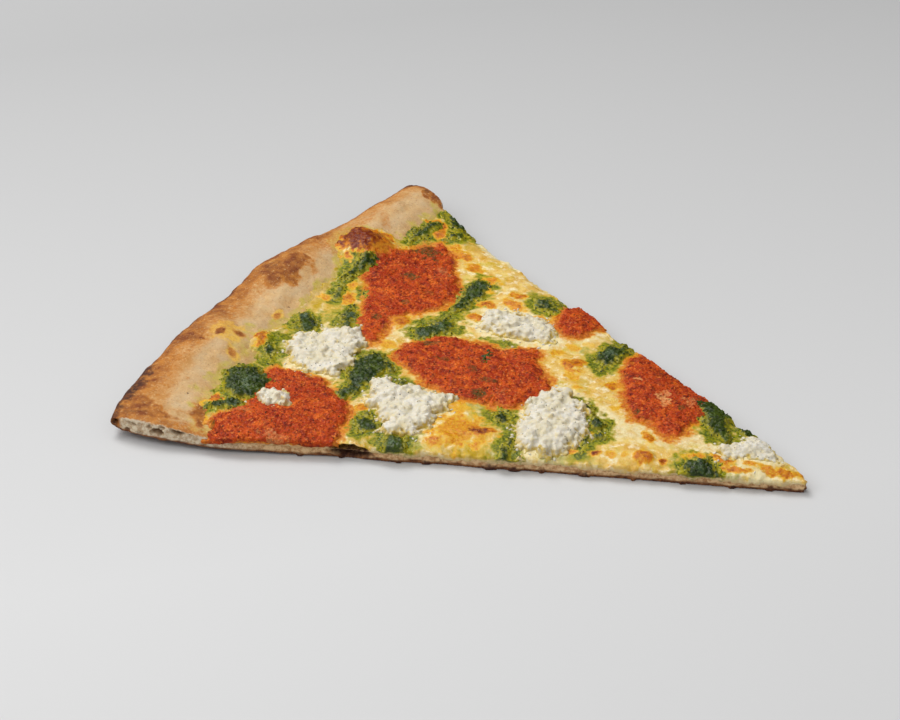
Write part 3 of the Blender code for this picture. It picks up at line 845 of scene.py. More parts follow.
def fill_with_cells(piece, size):
    """Adds a remesh that makes one closed skin of even cells of this size in millimetres."""
    cells = piece.modifiers.new("even cells", "REMESH")
    cells.mode = "VOXEL"
    cells.voxel_size = size * MM


dough = whole_copy("crust")
rounded = dough.modifiers.new("rounded", "SUBSURF")
rounded.levels = rounded.render_levels = 2
fill_with_cells(dough, DOUGH_VOXEL)
made_plain(dough)
print("the dough has", len(dough.data.vertices), "places after the remesh")

# %% [markdown]
# Now the even cells are pushed along their normals. Gentle lumps go everywhere. The cut faces show the
# crumb: round holes of three sizes, the largest in the thick rim, where the dough rose most. A torn, burnt
# pocket opens in the front cut, where a bubble burst in the oven. Charred blisters stand along the lower
# edge of the same cut, each listed by its distance from the tip and its half width. The rim's back corner
# is puffed up.

# %% Places for the dough's relief
PORES = ((6.4, 0.85, 3.0), (3.0, 0.6, 1.4), (1.5, 0.4, 0.4))  # size of the cells, share of them open, depth
NEEDS_RIM = 4  # holes in cells larger than this open only where the dough is thick
PORE_FLATTENED = (1, 1, 1.5)
WRINKLE_DRAWN_OUT = (1, 1, 0.5)
POCKET = (-136, 14, 2.2, 3.0)  # x, length, height of its middle over the underside, depth
BACK_CORNER = (-206, 96, 15, 0.9)  # x, y, reach, push
LOWEST = 0.02  # nothing is pushed out through the flat underside
CHARRED_BLISTERS = (
    (12, 1.5), (24, 1.4), (40, 1.3), (56, 0.9), (72, 2.3), (86, 1.2), (95, 2.2), (103, 2.6), (124, 1.9),
    (133, 1.3), (152, 1.2), (166, 1.3),
)
pocket_x, pocket_length, pocket_rise, pocket_depth = POCKET


def charred_places():
    """Where the charred blisters stand, as x, y and half width."""
    for distance, size in CHARRED_BLISTERS:
        yield *polar(distance, cut_angle(distance, -1)), size


def on_blisters(spots, rise, height, reach, wobble):
    """0 to 1 on the charred blisters. Height is theirs for each millimetre of half width."""
    charred = np.zeros(len(spots))
    for x, y, size in charred_places():
        away = np.hypot(np.hypot(spots[:, 0] - x, spots[:, 1] - y) / size, rise / (height * size))
        charred = np.maximum(charred, fade(reach, 0.5, away + wobble))
    return charred


def in_pocket(spots, rise, half_height, reach, full):
    """0 to 1 in the burnt pocket in the front cut."""
    away = np.hypot((spots[:, 0] - pocket_x) / (pocket_length / 2), (rise - pocket_rise) / half_height)
    return fade(reach, full, away + 0.25 * noise(spots, 2, 31)) * (spots[:, 1] < 0)


print("blisters stand at", [tuple(np.round(place, 1).tolist()) for place in charred_places()][:3], "and on")

# %% Pushing the dough about
def places_on_dough():
    """The dough's places and normals, the places seen from above, their distance from the point, how far
    they are inside the nearer cut, and how far over the underside."""
    spots = spots_of(dough)
    flat = spots[:, :2]
    rise = spots[:, 2] - read(under_map, flat)
    return spots, numbers_of(dough.data, "normal"), flat, np.hypot(*flat.T), within_cuts(flat), rise


spots, normals, flat, distance, inside_cut, rise = places_on_dough()
cut_face = fade(0.9, 0.35, inside_cut) * fade(0.8, 0.4, np.abs(normals[:, 2]))
at_rim = fade(180, 205, distance)

push = 0.8 * at_rim * (1 - cut_face) * noise(spots, 17, 10, 2)
push += 0.22 * noise(spots, 9, 11) + 0.14 * noise(spots, 3.4, 12, 2) + 0.05 * noise(spots, 1.3, 13, 2)
push *= 1 - 0.6 * (normals[:, 2] < -0.5)
push += 0.18 * cut_face * noise(spots, 2.4, 14, 3)
for size, share, depth in PORES:
    away, mark = jumble(spots * PORE_FLATTENED, size, 20 + int(size * 10))
    thick = at_rim * fade(1.2, 2.2, rise) if size > NEEDS_RIM else 0.35 + 0.65 * at_rim
    inner = fade(0.5, 1.1, rise)
    push -= depth * fade(0.46, 0.26, away) * (mark < share) * cut_face * thick * inner
push -= pocket_depth * (in_pocket(spots, rise, 2.0, 1.15, 0.6) * cut_face)
push += 0.8 * on_blisters(spots, rise, 0.6, 1.1, 0.2 * noise(spots, 1.2, 32))
corner_x, corner_y, corner_reach, corner_push = BACK_CORNER
away = np.hypot(flat[:, 0] - corner_x, flat[:, 1] - corner_y)
push += corner_push * fade(corner_reach, 4, away) * (normals[:, 2] > -0.3)
wrinkles, _ = jumble(spots * WRINKLE_DRAWN_OUT, 7, 33)
push += at_rim * (1 - cut_face) * (0.35 * fade(0.5, 0.1, wrinkles) - 0.12)
spots += normals * push[:, None]
spots[:, 2] = np.maximum(spots[:, 2], LOWEST)
move_to(dough, spots)
print("the dough was pushed by", push.min().round(1), "to", push.max().round(1), "mm")

# %% Fewer triangles where the cheese hides the dough, and under it
DOUGH_TRIANGLES = 185000
RIM_STARTS = 188

hidden = dough.vertex_groups.new(name="hidden")
buried = (normals[:, 2] > 0.6) & (distance < RIM_STARTS) & (inside_cut > 1.6)
beneath = (normals[:, 2] < -0.8) & (inside_cut > 1.2) & (from_rim(flat) > 13)
hidden.add(np.flatnonzero(buried | beneath).tolist(), 1.0, "REPLACE")
fewer = dough.modifiers.new("fewer", "DECIMATE")
fewer.ratio = DOUGH_TRIANGLES / (2 * len(spots))
fewer.vertex_group = "hidden"
fewer.vertex_group_factor = 10
fewer.use_collapse_triangulate = True
made_plain(dough)
dough.data.shade_smooth()
dough.vertex_groups.clear()
print("the dough keeps", len(dough.data.polygons), "triangles")

# %% [markdown]
# ## The dough's finish
#
# Baked wheat dough is matt. Its colours are layers of the same crust: pale where flour still dusts it,
# golden where the oven's heat reached it, orange-brown and then nearly black where it stood highest. The
# cut shows moist, pale crumb, with its holes painted darker as painted shade, and the underside is a thin
# brown skin with darker spots from the oven floor.

# %% Stains on the dough
BROWNED = (
    (-217, 16, 20, 17, 90, 1.3), (-216, 8, 12, 10, 90, 0.9), (-204, -84, 24, 9, 20, 1.1),
    (-214, -60, 10, 30, 10, 0.8), (-207, -68, 8, 16, 10, 0.6), (-205, -29, 6, 5, 0, 0.8),
    (-203, 94, 18, 6, 155, 1.1), (-206, 66, 6, 14, 30, 0.5), (-214, 60, 12, 40, 0, 0.5),
    (-217, -20, 10, 30, 0, 0.7), (-212, -45, 6, 12, 0, 0.6), (-211, 40, 5, 12, 0, 0.4),
    (-209, -33, 4, 6, 0, 1.2), (-204, -6.5, 2.5, 6, 20, 0.8), (-199.6, -39, 3, 5, 60, 0.9),
    (-203, -61, 3, 2, 20, 0.5), (-215.4, -41.3, 9, 5, 0, 1.7), (-215, 36, 12, 16, 0, 0.6),
    (-218, 0, 8, 18, 0, 0.5), (-204.6, 91.5, 7, 4, 150, 1.8), (-200, -84, 18, 5, 20, 1.2),
    (-209, -80, 14, 12, 20, 0.9), (-188, -73.5, 18, 6, 121, 0.9),
)
CHEESY = ((-208, -31, 12, 15, 0, 1.3), (-199.6, -39, 5, 8, 60, 1.0), (-204, -6.5, 4, 9, 20, 1.0))
BLACKENED = (
    (-217.5, -72, 9, 32, 15, 0.9), (-220, -75, 6, 26, 15, 1.6), (-215.4, -41.3, 6, 2, 0, 0.35),
    (-204.6, 93, 4, 4, 0, 0.6), (-206, -86, 8, 3, 20, 0.5), (-221, 14, 5, 14, 0, 0.35),
    (-198, -67, 0.8, 0.8, 0, 0.9), (-204, 0.5, 1, 1, 0, 0.9), (-157, 73.5, 4, 2, 155, 0.9),
    (-149.6, 70, 4, 2, 155, 0.9), (-143, 67, 3, 1.5, 155, 0.9), (-170, 80, 3, 1.5, 155, 0.6),
)

# %% Where the dough's crumb, skin and stains show
NARROWED = 0.45  # the brown band is narrower by this share at the back of the rim

spots, normals, flat, distance, inside_cut, rise = places_on_dough()
in_pore = fade(3.8, 3.0, inside_cut) * fade(0.4, 0.9, read(dough_map, flat) - spots[:, 2])
in_pore *= fade(0.3, 0.8, rise)
cut_face = fade(0.9, 0.4, inside_cut) * fade(0.85, 0.5, np.abs(normals[:, 2]))
cut_face = np.maximum(cut_face, in_pore) * fade(2.0, 4.0, from_rim(flat))
skin_edge = 0.7 + 0.35 * fade(185, 150, distance) + 0.45 * noise(spots, 5, 41, 2)
under = np.maximum(fade(skin_edge + 0.3, skin_edge - 0.2, rise), (normals[:, 2] < -0.6) & (rise < 1.2))

to_rim = from_rim(flat) + 4 * noise(spots, 14, 42, 3)
band = 1 - NARROWED * fade(20, 70, flat[:, 1])
outer = 0.6 * fade(22, 9, to_rim / band) + 0.55 * fade(11, 2, to_rim / band)
at_front = fade(7, 2, within_cut(flat, -1) + 2 * noise(spots, 6, 49, 2)) * fade(184, 200, distance)
at_edge = 0.85 * fade(3.4, 0.6, from_rim(flat) + 1.0 * noise(spots, 8, 48))
on_char = on_blisters(spots, rise, 0.75, 1.2, 0.25 * noise(spots, 1.5, 45))
from_cheese = -within_fringe(flat) + 4 * noise(flat, 7, 46, 2)
paint(
    dough,
    crumb=cut_face,
    # painted shade: the crumb is darker the deeper it lies behind the cut face, inside the holes
    pore=cut_face * fade(0.5, 2.2, inside_cut),
    risen=fade(176, 196, distance),
    under=under,
    toast=np.maximum.reduce([stains(flat, BROWNED, 43, 0.4, 7), outer, 0.75 * at_front]),
    # burnt spots, the rim's edge and the blisters are char; in the pocket the dark is char and also painted
    # shade for its hollow under the cheese lip
    char=np.maximum.reduce([
        stains(flat, BLACKENED, 44, 0.4, 3), at_edge, on_char, 0.9 * in_pocket(spots, rise, 2.2, 1.1, 0.7)
    ]),
    oil=np.maximum(fade(5.0, 0.5, from_cheese), stains(flat, OILY, 47, 0.4, 6)) * (1 - cut_face),
    floury=fade(11, 19, to_rim / band) * (0.7 + 0.6 * noise(spots, 7, 50, 2)),
    cheesy=stains(flat, CHEESY, 34, 0.3, 5),
)
print("crumb shows on", round(100 * cut_face.mean()), "% of the dough's places")

# %% Baked dough
baked_dough, tree, shader = new_material(
    "baked wheat dough",  # matt, with a faint softness where the crumb lets light in
    Subsurface_Weight=0.12,
    Subsurface_Radius=(1.0, 0.6, 0.35),
    Subsurface_Scale=1.2 * MM,
    Specular_IOR_Level=0.25,
)
colour = layered(tree, mottled(tree, "#BC8C50", "#D2AE7A", 6), (
    ("#C8AA80", "floury", 5.0, 0.15, 1.2, 1),
    ("#BCAA3E", "oil", 3.0, 0.3, 1.2, 0.8),
    ("#DDB04C", "cheesy", 2.0, 0.2, 0.9, 1),
    ("#B8762C", "toast", 1.1, 0.1, 0.75, 1),
    ("#7E4014", "toast", 4.0, 0.55, 1.25, 1),
    ("#80421A", "", 0.8, 0.55, 0.73, 0.5),
    ("#F0CE98", "", 0.9, 0.57, 0.74, 0.5),
    ("#6A2A12", "toast", 2.0, 1.2, 1.7, 1),
))
thin = mottled(tree, "#B58658", "#E0BC8C", 1.4, 0.4, 0.56, 3)
thick = mottled(tree, "#B89C7C", "#DACAAE", 1.4, 0.4, 0.56, 3)
# the holes' darker crumb is painted shade
crumb = layered(tree, thin, ((thick, "risen", 0, 0, 1, 1), ("#86684A", "pore", 0, 0, 1, 1)))
skin = mottled(tree, "#542A18", "#8E5C34", 2.0, 0.4, 0.6, 4, 0.7)
colour = layered(tree, colour, (
    (crumb, "crumb", 0, 0, 1, 1),
    (skin, "under", 0, 0, 1, 1),
    # the char layer's dark also paints shade into the pocket's hollow
    ("#46261A", "char", 1.6, 0.2, 1.0, 1),
))
grain = lumpy(tree, 0.9, 3, 0.65)
finish_with(tree, shader, colour, grain, (0.3, 0.7, 0.62, 0.85), grain, 0.14)
dress(dough, baked_dough)

# %% [markdown]
# ## The cheese
#
# Melted mozzarella sets in low swells with small blisters that toast first. It thins to an oil-stained,
# ragged fringe on the rim. Its height is one function of the place, because the toppings have to lie on it
# too. Where the knife went through, it sags over the dough and hangs a little down the front cut, and over
# the burnt pocket it stands clear of the dough as a lip.

# %% The cheese's height
SINK = 0.45  # how far its skin dips into the dough past the fringe
THINNEST = 0.3
NEAR_CUT = 2.4
BLISTERS = (
    (-203, 47, 17, 15, 20, 1.6), (-208, -32, 8, 8, 0, 1.0), (-198, -25, 10, 6, 115, 0.7),
    (-170, -35.5, 14, 5, 0, 0.6), (-103, -34, 6, 12, 110, 0.8), (-112, -44, 7, 6, 0, 0.6),
    (-50, -18, 6, 6, 0, 0.8), (-98, 20, 8, 7, 0, 0.7), (-165, 13, 7, 7, 0, 0.7), (-136, 45, 5, 9, 70, 0.5),
    (-138, -61.5, 14, 9, 24, 0.9),
)


def cheese_height(flat):
    """Height of the cheese's upper skin, which dips into the dough past the fringe."""
    ground = read(dough_map, flat)
    thick = np.maximum(read(cheese_map, flat) - ground, THINNEST)
    inside = within_fringe(flat)
    swell = 0.22 * noise(flat, 11, 53, 2) + 0.16 * noise(flat, 4.2, 54, 2) + 0.06 * noise(flat, 1.4, 55, 2)
    toasted = stains(flat, TOASTED, 56, 0.3, 3)
    dome, mark = jumble(flat, 3.2, 57)
    bubbles = fade(0.55, 0.1, dome) * (mark < 0.5)
    swell += toasted * (0.22 * bubbles + 0.12 * noise(flat, 1.2, 58)) - 0.12 * bubbles * (mark > 0.38)
    for x, y, length, width, turn, height in BLISTERS:
        swell += height * np.sqrt(stains(flat, ((x, y, length, width, turn, 1.0),), 59, 0.15, 5))
    at_cut = fade(NEAR_CUT, 0, within_cuts(flat))
    sag = 0.7 * at_cut * np.clip(0.6 + 0.9 * noise(flat, 4.5, 60, 2), 0, 1.2)
    return ground + (thick + swell) * fade(-0.6, 3.4, inside) - SINK * fade(0.4, -1.0, inside) - sag


# %% The cheese's shape
CHEESE_SPACING = 0.49
CHEESE_START, CHEESE_STOP = 1.0, 222
FRINGE_SUNK = -1.4
IN_DOUGH, LEAST_THICK = 0.5, 0.25
HANG = 1.3  # how far the cheese hangs down the front cut at most
HANGS_FROM = (150, 120)  # nearer to the tip than this, where the dough is thin
LIP = 0.7  # how thick the lip over the pocket is
CUT_SLOPE = 0.4536  # the tangent of the cuts' half angle

flat, triangles, on_cut = fan(CHEESE_SPACING, CHEESE_START, CHEESE_STOP, 61)
triangles = trimmed(triangles, within_fringe(flat) > FRINGE_SUNK)
ragged_cut = 0.45 * noise(flat, 7, 62, 2) + 0.4 * noise(flat, 2.2, 63, 2)
top = cheese_height(flat) + 0.25 * fade(1.2, 0, within_cuts(flat)) * noise(flat, 2.6, 64, 2)
hang = HANG * fade(0.9, 0, within_cut(flat, -1)) * fade(*HANGS_FROM, np.hypot(*flat.T))
hang *= np.clip(0.6 + 1.2 * noise(flat, 6, 66, 2), 0, 1)
bottom = np.minimum(read(dough_map, flat) - IN_DOUGH, top - LEAST_THICK) - hang
lip = stains(flat, ((pocket_x, pocket_x * CUT_SLOPE, pocket_length, 9, 24, 1.0),), 65, 0.15, 5)
bottom += lip * np.maximum(0, top - LIP - bottom)


def shifted_at_cuts(flat, shift):
    """Places near a cut, pushed out over it by a shift in millimetres."""
    moved = flat.copy()
    for side in (-1, 1):
        moved += out_over(side) * (shift * fade(NEAR_CUT, 0, within_cut(flat, side)))[:, None]
    return moved


cheese_sheet = (shifted_at_cuts(flat, ragged_cut), triangles, top, bottom, on_cut)
print("the cheese's top skin has", len(triangles), "triangles")

# %% [markdown]
# The cheese's colours follow the lists of stains and the toppings round it: oil seeps green from the pesto
# and orange from the sauce, and the cheese stays milky round the ricotta. It is soft and lets light in, so
# the shader scatters light a millimetre or so under the skin, and a thin film of oil makes it glossy, with
# cream-white specks laid on as painted highlights. The wall of the slab, which the knife laid bare, is
# paler than the skin.

# %% Melted mozzarella
melted_mozzarella, tree, shader = new_material(
    "melted mozzarella with toasted bubbles",  # soft and oily: glossy on the swells, duller where it toasted
    Subsurface_Weight=0.15,
    Subsurface_Radius=(1.0, 0.7, 0.35),
    Subsurface_Scale=1.2 * MM,
    Specular_IOR_Level=0.25,
)
colour = layered(tree, mottled(tree, "#D6A23A", "#E9CA76", 5), (
    ("#C4B236", "", 8, 0.5, 0.64, 0.5),
    # painted highlights: cream-white specks stand in for glints on the oily cheese
    ("#F8ECC6", "", 3.2, 0.5, 0.68, 0.85),
    ("#EBDCAC", "milk", 2.2, 0.15, 1.0, 1),
    ("#CDAE74", "film", 2.0, 0.25, 0.85, 1),
    ("#BE9C18", "oil", 2.4, 0.3, 1.0, 1),
    ("#969414", "green", 1.6, 0.1, 0.8, 1),
    ("#48580F", "green", 0.9, 0.6, 1.15, 1),
    ("#E2B02C", "toast", 1.5, 0.1, 0.45, 1),
    ("#D07C14", "toast", 1.0, 0.38, 0.85, 1),
    ("#9C460C", "toast", 1.9, 0.75, 1.25, 1),
    ("#702408", "scorch", 1.2, 0.35, 1.0, 1),
    ("#DA9022", "red", 1.4, 0.12, 0.65, 1),
    ("#B85412", "red", 1.1, 0.55, 1.15, 1),
    ("#9A6A1C", "", 0.7, 0.64, 0.8, 0.6),
    ("#D8BE8C", "wall", 1.5, 0.3, 1.1, 1),
))
grain = lumpy(tree, 0.6, 3, 0.65)
finish_with(tree, shader, colour, lumpy(tree, 2.5), (0.3, 0.7, 0.2, 0.5), grain, 0.26)

# %% The cheese as a piece
cheese = slab("cheese_blanket", *cheese_sheet, melted_mozzarella)
spots = spots_of(cheese)
flat = spots[:, :2]
near_sauce, near_ricotta, near_pesto = (deepest(flat, kind) for kind in KINDS)
from_fringe = within_fringe(flat)
fringe_film = fade(9, 2.5, from_fringe) * (0.7 + 0.6 * noise(flat, 8, 71, 2))
seep = 1.5 * noise(flat, 6, 76, 2)
paint(
    cheese,
    toast=stains(flat, TOASTED, 56, 0.45, 3.5),
    scorch=stains(flat, SCORCHED, 72, 0.35, 2.5),
    milk=np.maximum(stains(flat, MILKY, 73, 0.4, 6), 0.95 * fade(-7, -0.5, near_ricotta + seep)),
    oil=np.maximum.reduce([stains(flat, OILY, 74, 0.5, 6), fade(-5.5, -0.5, near_pesto + seep), fringe_film]),
    green=np.maximum(stains(flat, GREEN, 75, 0.5, 3), 1.2 * fade(-4.6, 0.4, near_pesto + seep)),
    red=fade(-3.4, 0.2, near_sauce + 0.6 * seep),
    film=fade(6.5, 1.5, from_fringe),
    wall=fade(0.5, 1.3, cheese_height(flat) - spots[:, 2] + 0.3 * noise(spots, 3, 77, 2)),
)

# %% [markdown]
# ## Bits that are strewn by the hundred
#
# Curds, chopped leaves, tomato flesh and pepper are all small lumps, no two alike. Geometry Nodes strew
# them: the tree spreads points over a surface, keeps them a spacing apart, sets a lump on each with its own
# size and turn, and makes them real. One tree serves all, because its sizes are inputs.

# %% A tree that strews lumps over a surface
STREW_INPUTS = (
    ("Geometry", "NodeSocketGeometry"), ("Spacing", "NodeSocketFloat"), ("Density", "NodeSocketFloat"),
    ("Smallest", "NodeSocketVector"), ("Largest", "NodeSocketVector"), ("Facets", "NodeSocketInt"),
    ("Seed", "NodeSocketInt"), ("Material", "NodeSocketMaterial"),
)


def strewing_tree():
    tree = bpy.data.node_groups.new("strewn lumps", "GeometryNodeTree")
    for name, kind in STREW_INPUTS:
        tree.interface.new_socket(name, in_out="INPUT", socket_type=kind)
    tree.interface.new_socket("Geometry", in_out="OUTPUT", socket_type="NodeSocketGeometry")
    given = add(tree, "NodeGroupInput").outputs
    spread = {"Mesh": given["Geometry"], "Distance Min": given["Spacing"], "Density Max": given["Density"]}
    spread |= {"Seed": given["Seed"]}
    points = add(tree, "GeometryNodeDistributePointsOnFaces", spread, distribute_method="POISSON")
    lump = add(tree, "GeometryNodeMeshIcoSphere", {"Radius": 1.0, "Subdivisions": given["Facets"]})
    inputs = {"Min": given["Smallest"], "Max": given["Largest"], "Seed": given["Seed"]}
    size = add(tree, "FunctionNodeRandomValue", inputs, data_type="FLOAT_VECTOR")
    tilt = {"Min": (-0.5, -0.5, -math.pi), "Max": (0.5, 0.5, math.pi), "Seed": given["Seed"]}
    turn = add(tree, "FunctionNodeRandomValue", tilt, data_type="FLOAT_VECTOR")
    spin = add(tree, "FunctionNodeEulerToRotation", {"Euler": turn.outputs["Value"]})
    turned = add(
        tree,
        "FunctionNodeRotateRotation",
        {"Rotation": points.outputs["Rotation"], "Rotate By": spin.outputs["Rotation"]},
        rotation_space="LOCAL",
    )
    placed = {"Points": points.outputs["Points"], "Instance": lump.outputs["Mesh"]}
    placed |= {"Rotation": turned.outputs["Rotation"], "Scale": size.outputs["Value"]}
    copies = add(tree, "GeometryNodeInstanceOnPoints", placed)
    real = add(tree, "GeometryNodeRealizeInstances", {"Geometry": copies.outputs["Instances"]})
    soft = add(tree, "GeometryNodeSetShadeSmooth", {"Geometry": real.outputs["Geometry"]})
    dressed = {"Geometry": soft.outputs["Geometry"], "Material": given["Material"]}
    done = add(tree, "GeometryNodeSetMaterial", dressed).outputs["Geometry"]
    add(tree, "NodeGroupOutput", {"Geometry": done})
    return tree


STREWING = strewing_tree()


def strewn(name, places, triangles, spacing, density, smallest, largest, facets, seed, material):
    """A plain mesh of lumps strewn over a surface of places and triangles. Sizes are half widths in mm, and
    density is a count for a square millimetre before crowded lumps go."""
    used, renumbered = np.unique(triangles, return_inverse=True)
    piece = new_piece(name, places[used], renumbered.reshape(-1, 3), material)
    lumps = piece.modifiers.new("lumps", "NODES")
    lumps.node_group = STREWING
    chosen = {
        "Spacing": spacing * MM,
        "Density": density / MM**2,
        "Smallest": [half * MM for half in smallest],
        "Largest": [half * MM for half in largest],
        "Facets": facets,
        "Seed": seed,
        "Material": material,
    }
    for item in STREWING.interface.items_tree:
        if item.in_out == "INPUT" and item.name in chosen:
            lumps[item.identifier] = chosen[item.name]
    made_plain(piece)
    piece.data.materials.pop(index=0)  # the empty slot of the lumps before they got their material
    print(name, "has", len(piece.data.polygons), "triangles")
    return piece


# %% [markdown]
# ## The sauce
#
# Vodka sauce is tomato cooked down with cream: a thick, fine-grained purée that bakes to a moist, matt
# skin. Its pools have round shoulders and a grain of tomato flesh about a millimetre across.

# %% The fan that the toppings are cut from
TOPPING_SPACING = 0.36

fine_flat, fine_triangles, fine_on_cut = fan(TOPPING_SPACING, CHEESE_START, CHEESE_STOP, 81)
fine_base = cheese_height(fine_flat)
fine_edge = within_cuts(fine_flat)
fine_depths = {kind: deepest(fine_flat, kind) for kind in KINDS}
print("the toppings are cut from a fan of", len(fine_triangles), "triangles")


# %% One topping
EDGE_WIDTH = {"sauce": 2.0, "ricotta": 2.2, "pesto": 3.6}  # how wide each one's edge is coloured
DIP = 0.7  # how steeply a topping dips into the cheese outside its edge
DIP_REACH = -0.9
UNDER_SKIN = 0.35
OVERHANG, OVERHANG_SWING = 0.65, 0.3
DARKENED = 1.2


def lies_on(depth, rise, shoulder):
    """How far a topping stands over the cheese: up to its rise within its edge, sinking outside of it."""
    inside = rise * (1 - np.exp(-np.maximum(depth, 0) / shoulder))
    return np.where(depth > 0, inside, np.maximum(DIP * depth, -SINK))


def topping(node, shape, hang, material):
    """A topping's slab: shape gives its rise over the cheese from its depth, and hang its drip at a cut."""
    depth = covered(fine_flat, node)
    kept = trimmed(fine_triangles, depth > DIP_REACH)
    reach = np.where(depth > DIP_REACH, fine_depths[kind_of(node)], depth)
    top = fine_base + shape(fine_flat, reach, thickness[node])
    drip = hang * fade(0.9, 0.0, fine_edge) * np.maximum(0, 0.6 + noise(fine_flat, 8, 82))
    bottom = np.minimum(fine_base, top) - UNDER_SKIN - drip
    flat = shifted_at_cuts(fine_flat, OVERHANG + OVERHANG_SWING * noise(fine_flat, 3, 83, 2))
    piece = slab(node + "_piece", flat, kept, top, bottom, fine_on_cut, material)
    spots = spots_of(piece)[:, :2]
    paint(
        piece,
        edge=fade(EDGE_WIDTH[kind_of(node)], 0.0, deepest(spots, kind_of(node))),
        pale=stains(spots, PALE_ON_SAUCE, 88, 0.5, 3),
        dark=DARKENED * stains(spots, DARK_ON_SAUCE, 89, 0.5, 3),
    )
    return piece, np.column_stack((flat, top)), depth


def all_of(kind, shape, hang, material, inset):
    """All toppings of one kind by node, and the skins inside their edges as places and triangles."""
    pieces, skins, triangles = {}, [], []
    for node in sorted(outlines):
        if kind_of(node) == kind:
            pieces[node], skin, depth = topping(node, shape, hang, material)
            triangles.append(trimmed(fine_triangles, depth > inset) + len(fine_flat) * len(skins))
            skins.append(skin)
    return pieces, (np.concatenate(skins), np.concatenate(triangles))


# %% Vodka sauce
def round_bits(flat, reach, *rows):
    """The relief of round bits. Each row is their size, how high they stand and a seed."""
    return sum(height * fade(reach, 0.1, jumble(flat, size, seed)[0]) for size, height, seed in rows)


def sauce_shape(flat, depth, rise):
    flesh = 0.28 * noise(flat, 7, 86, 2) + 0.16 * noise(flat, 2.4, 87)
    grain = round_bits(flat, 0.7, (1.25, 0.27, 84), (0.8, 0.15, 85)) - 0.2
    return lies_on(depth, 0.6 * rise, 2.0) + (flesh + grain) * fade(0, 1.6, depth)


vodka_sauce, tree, shader = new_material(
    "baked vodka sauce",  # a matt purée with wet spots between the bits of tomato
    Subsurface_Weight=0.08,
    Subsurface_Radius=(1.0, 0.25, 0.08),
    Subsurface_Scale=0.7 * MM,
    Specular_IOR_Level=0.2,
)
colour = layered(tree, mottled(tree, "#A83002", "#C64C06", 7, 0.36, 0.64, 4, 0.7), (
    ("#761802", "", 2.6, 0.49, 0.63, 0.9),
    ("#E06A14", "", 3.6, 0.53, 0.68, 0.85),
    # painted highlights: small pale orange specks stand in for glints on the sauce's grain
    ("#F08A3C", "", 0.9, 0.56, 0.7, 0.8),
    ("#3E0A02", "", 0.8, 0.55, 0.68, 0.9),
    ("#E2A060", "pale", 1.0, 0.3, 1.1, 1),
    ("#5C4414", "dark", 1.2, 0.35, 1.1, 1),
    ("#D07E22", "edge", 1.0, 0.2, 1.1, 0.8),
))
grain = lumpy(tree, 0.7, 3, 0.7)
finish_with(tree, shader, colour, grain, (0.45, 0.7, 0.7, 0.12), grain, 0.34)

sauce_pieces, flesh_skin = all_of("sauce", sauce_shape, 1.3, vodka_sauce, 0.6)
flesh = strewn(
    "tomato_flesh", *flesh_skin, 0.55, 0.55, (0.15, 0.12, 0.1), (0.46, 0.34, 0.22), 1, 5, vodka_sauce
)

# %% [markdown]
# ## The pesto
#
# Basil ground with oil, nuts and hard cheese: coarse, dark and wet, with oil standing between the bits. It
# is shaped as the sauce is, and bits of leaf are strewn over it.


# %% Basil pesto
def pesto_shape(flat, depth, rise):
    clumps = 0.28 * noise(flat, 4.5, 93, 2)
    grain = round_bits(flat, 0.8, (1.5, 0.36, 91), (0.9, 0.18, 92)) - 0.27
    return lies_on(depth, 0.5 * rise, 2.6) + (clumps + grain) * fade(-0.3, 1.0, depth)


basil_pesto, tree, shader = new_material(
    "ground basil pesto in oil",  # dark green leaf, wet with oil, which runs out yellow at the edge
    Subsurface_Weight=0.04,
    Subsurface_Radius=(0.5, 1.0, 0.2),
    Subsurface_Scale=0.5 * MM,
    Specular_IOR_Level=0.28,
)
colour = layered(tree, mottled(tree, "#20320C", "#465610", 4.5, 0.38, 0.64, 4, 0.7), (
    # painted sheen: grey-green patches stand in for light reflected off the oil
    ("#52664A", "", 8, 0.54, 0.68, 0.8),
    ("#828420", "", 1.2, 0.58, 0.72, 0.45),
    ("#0E1604", "", 1.1, 0.52, 0.66, 0.85),
    ("#CFC488", "", 0.7, 0.68, 0.8, 0.7),
    ("#A69A1A", "edge", 1.6, 0.15, 1.0, 1),
))
grain = lumpy(tree, 0.8, 3, 0.7)
finish_with(tree, shader, colour, grain, (0.3, 0.7, 0.6, 0.15), grain, 0.22)

pesto_pieces, leaf_skin = all_of("pesto", pesto_shape, 0.8, basil_pesto, -0.2)
leaves = strewn(
    "chopped_basil", *leaf_skin, 0.6, 0.45, (0.2, 0.15, 0.08), (0.65, 0.42, 0.18), 1, 6, basil_pesto
)

# %% [markdown]
# ## The ricotta
#
# Fresh curd cheese, spooned on cold and barely melted: soft white curds of two or three millimetres pressed
# together, with crumbs round the edge. Each dollop is a heap with curds strewn over it. A voxel remesh
# fuses heap and curds into one skin with real hollows between them.

# %% Fresh ricotta
ricotta_curd, tree, shader = new_material(
    "fresh ricotta curd",  # moist and white, and light goes deep into it
    Subsurface_Weight=0.35,
    Subsurface_Radius=(1.0, 0.85, 0.6),
    Subsurface_Scale=1.8 * MM,
    Specular_IOR_Level=0.3,
)
colour = layered(tree, mottled(tree, "#D2C8AC", "#DCD6C8", 5, 0.35, 0.65, 3, 0.6), (
    ("#D6C07A", "", 3.0, 0.54, 0.72, 0.6),
    ("#CBAE4E", "edge", 1.8, 0.3, 1.1, 1),
))
grain = lumpy(tree, 0.8, 3, 0.7)
finish_with(tree, shader, colour, grain, (0.3, 0.7, 0.45, 0.7), grain, 0.16)


def ricotta_shape(flat, depth, rise):
    heap = 0.9 * noise(flat, 8, 103, 2) + 0.6 * noise(flat, 3, 104, 2)
    return lies_on(depth, 0.6 * rise, 2.2) + heap * fade(0, 2.5, depth) * min(1, rise / 3)


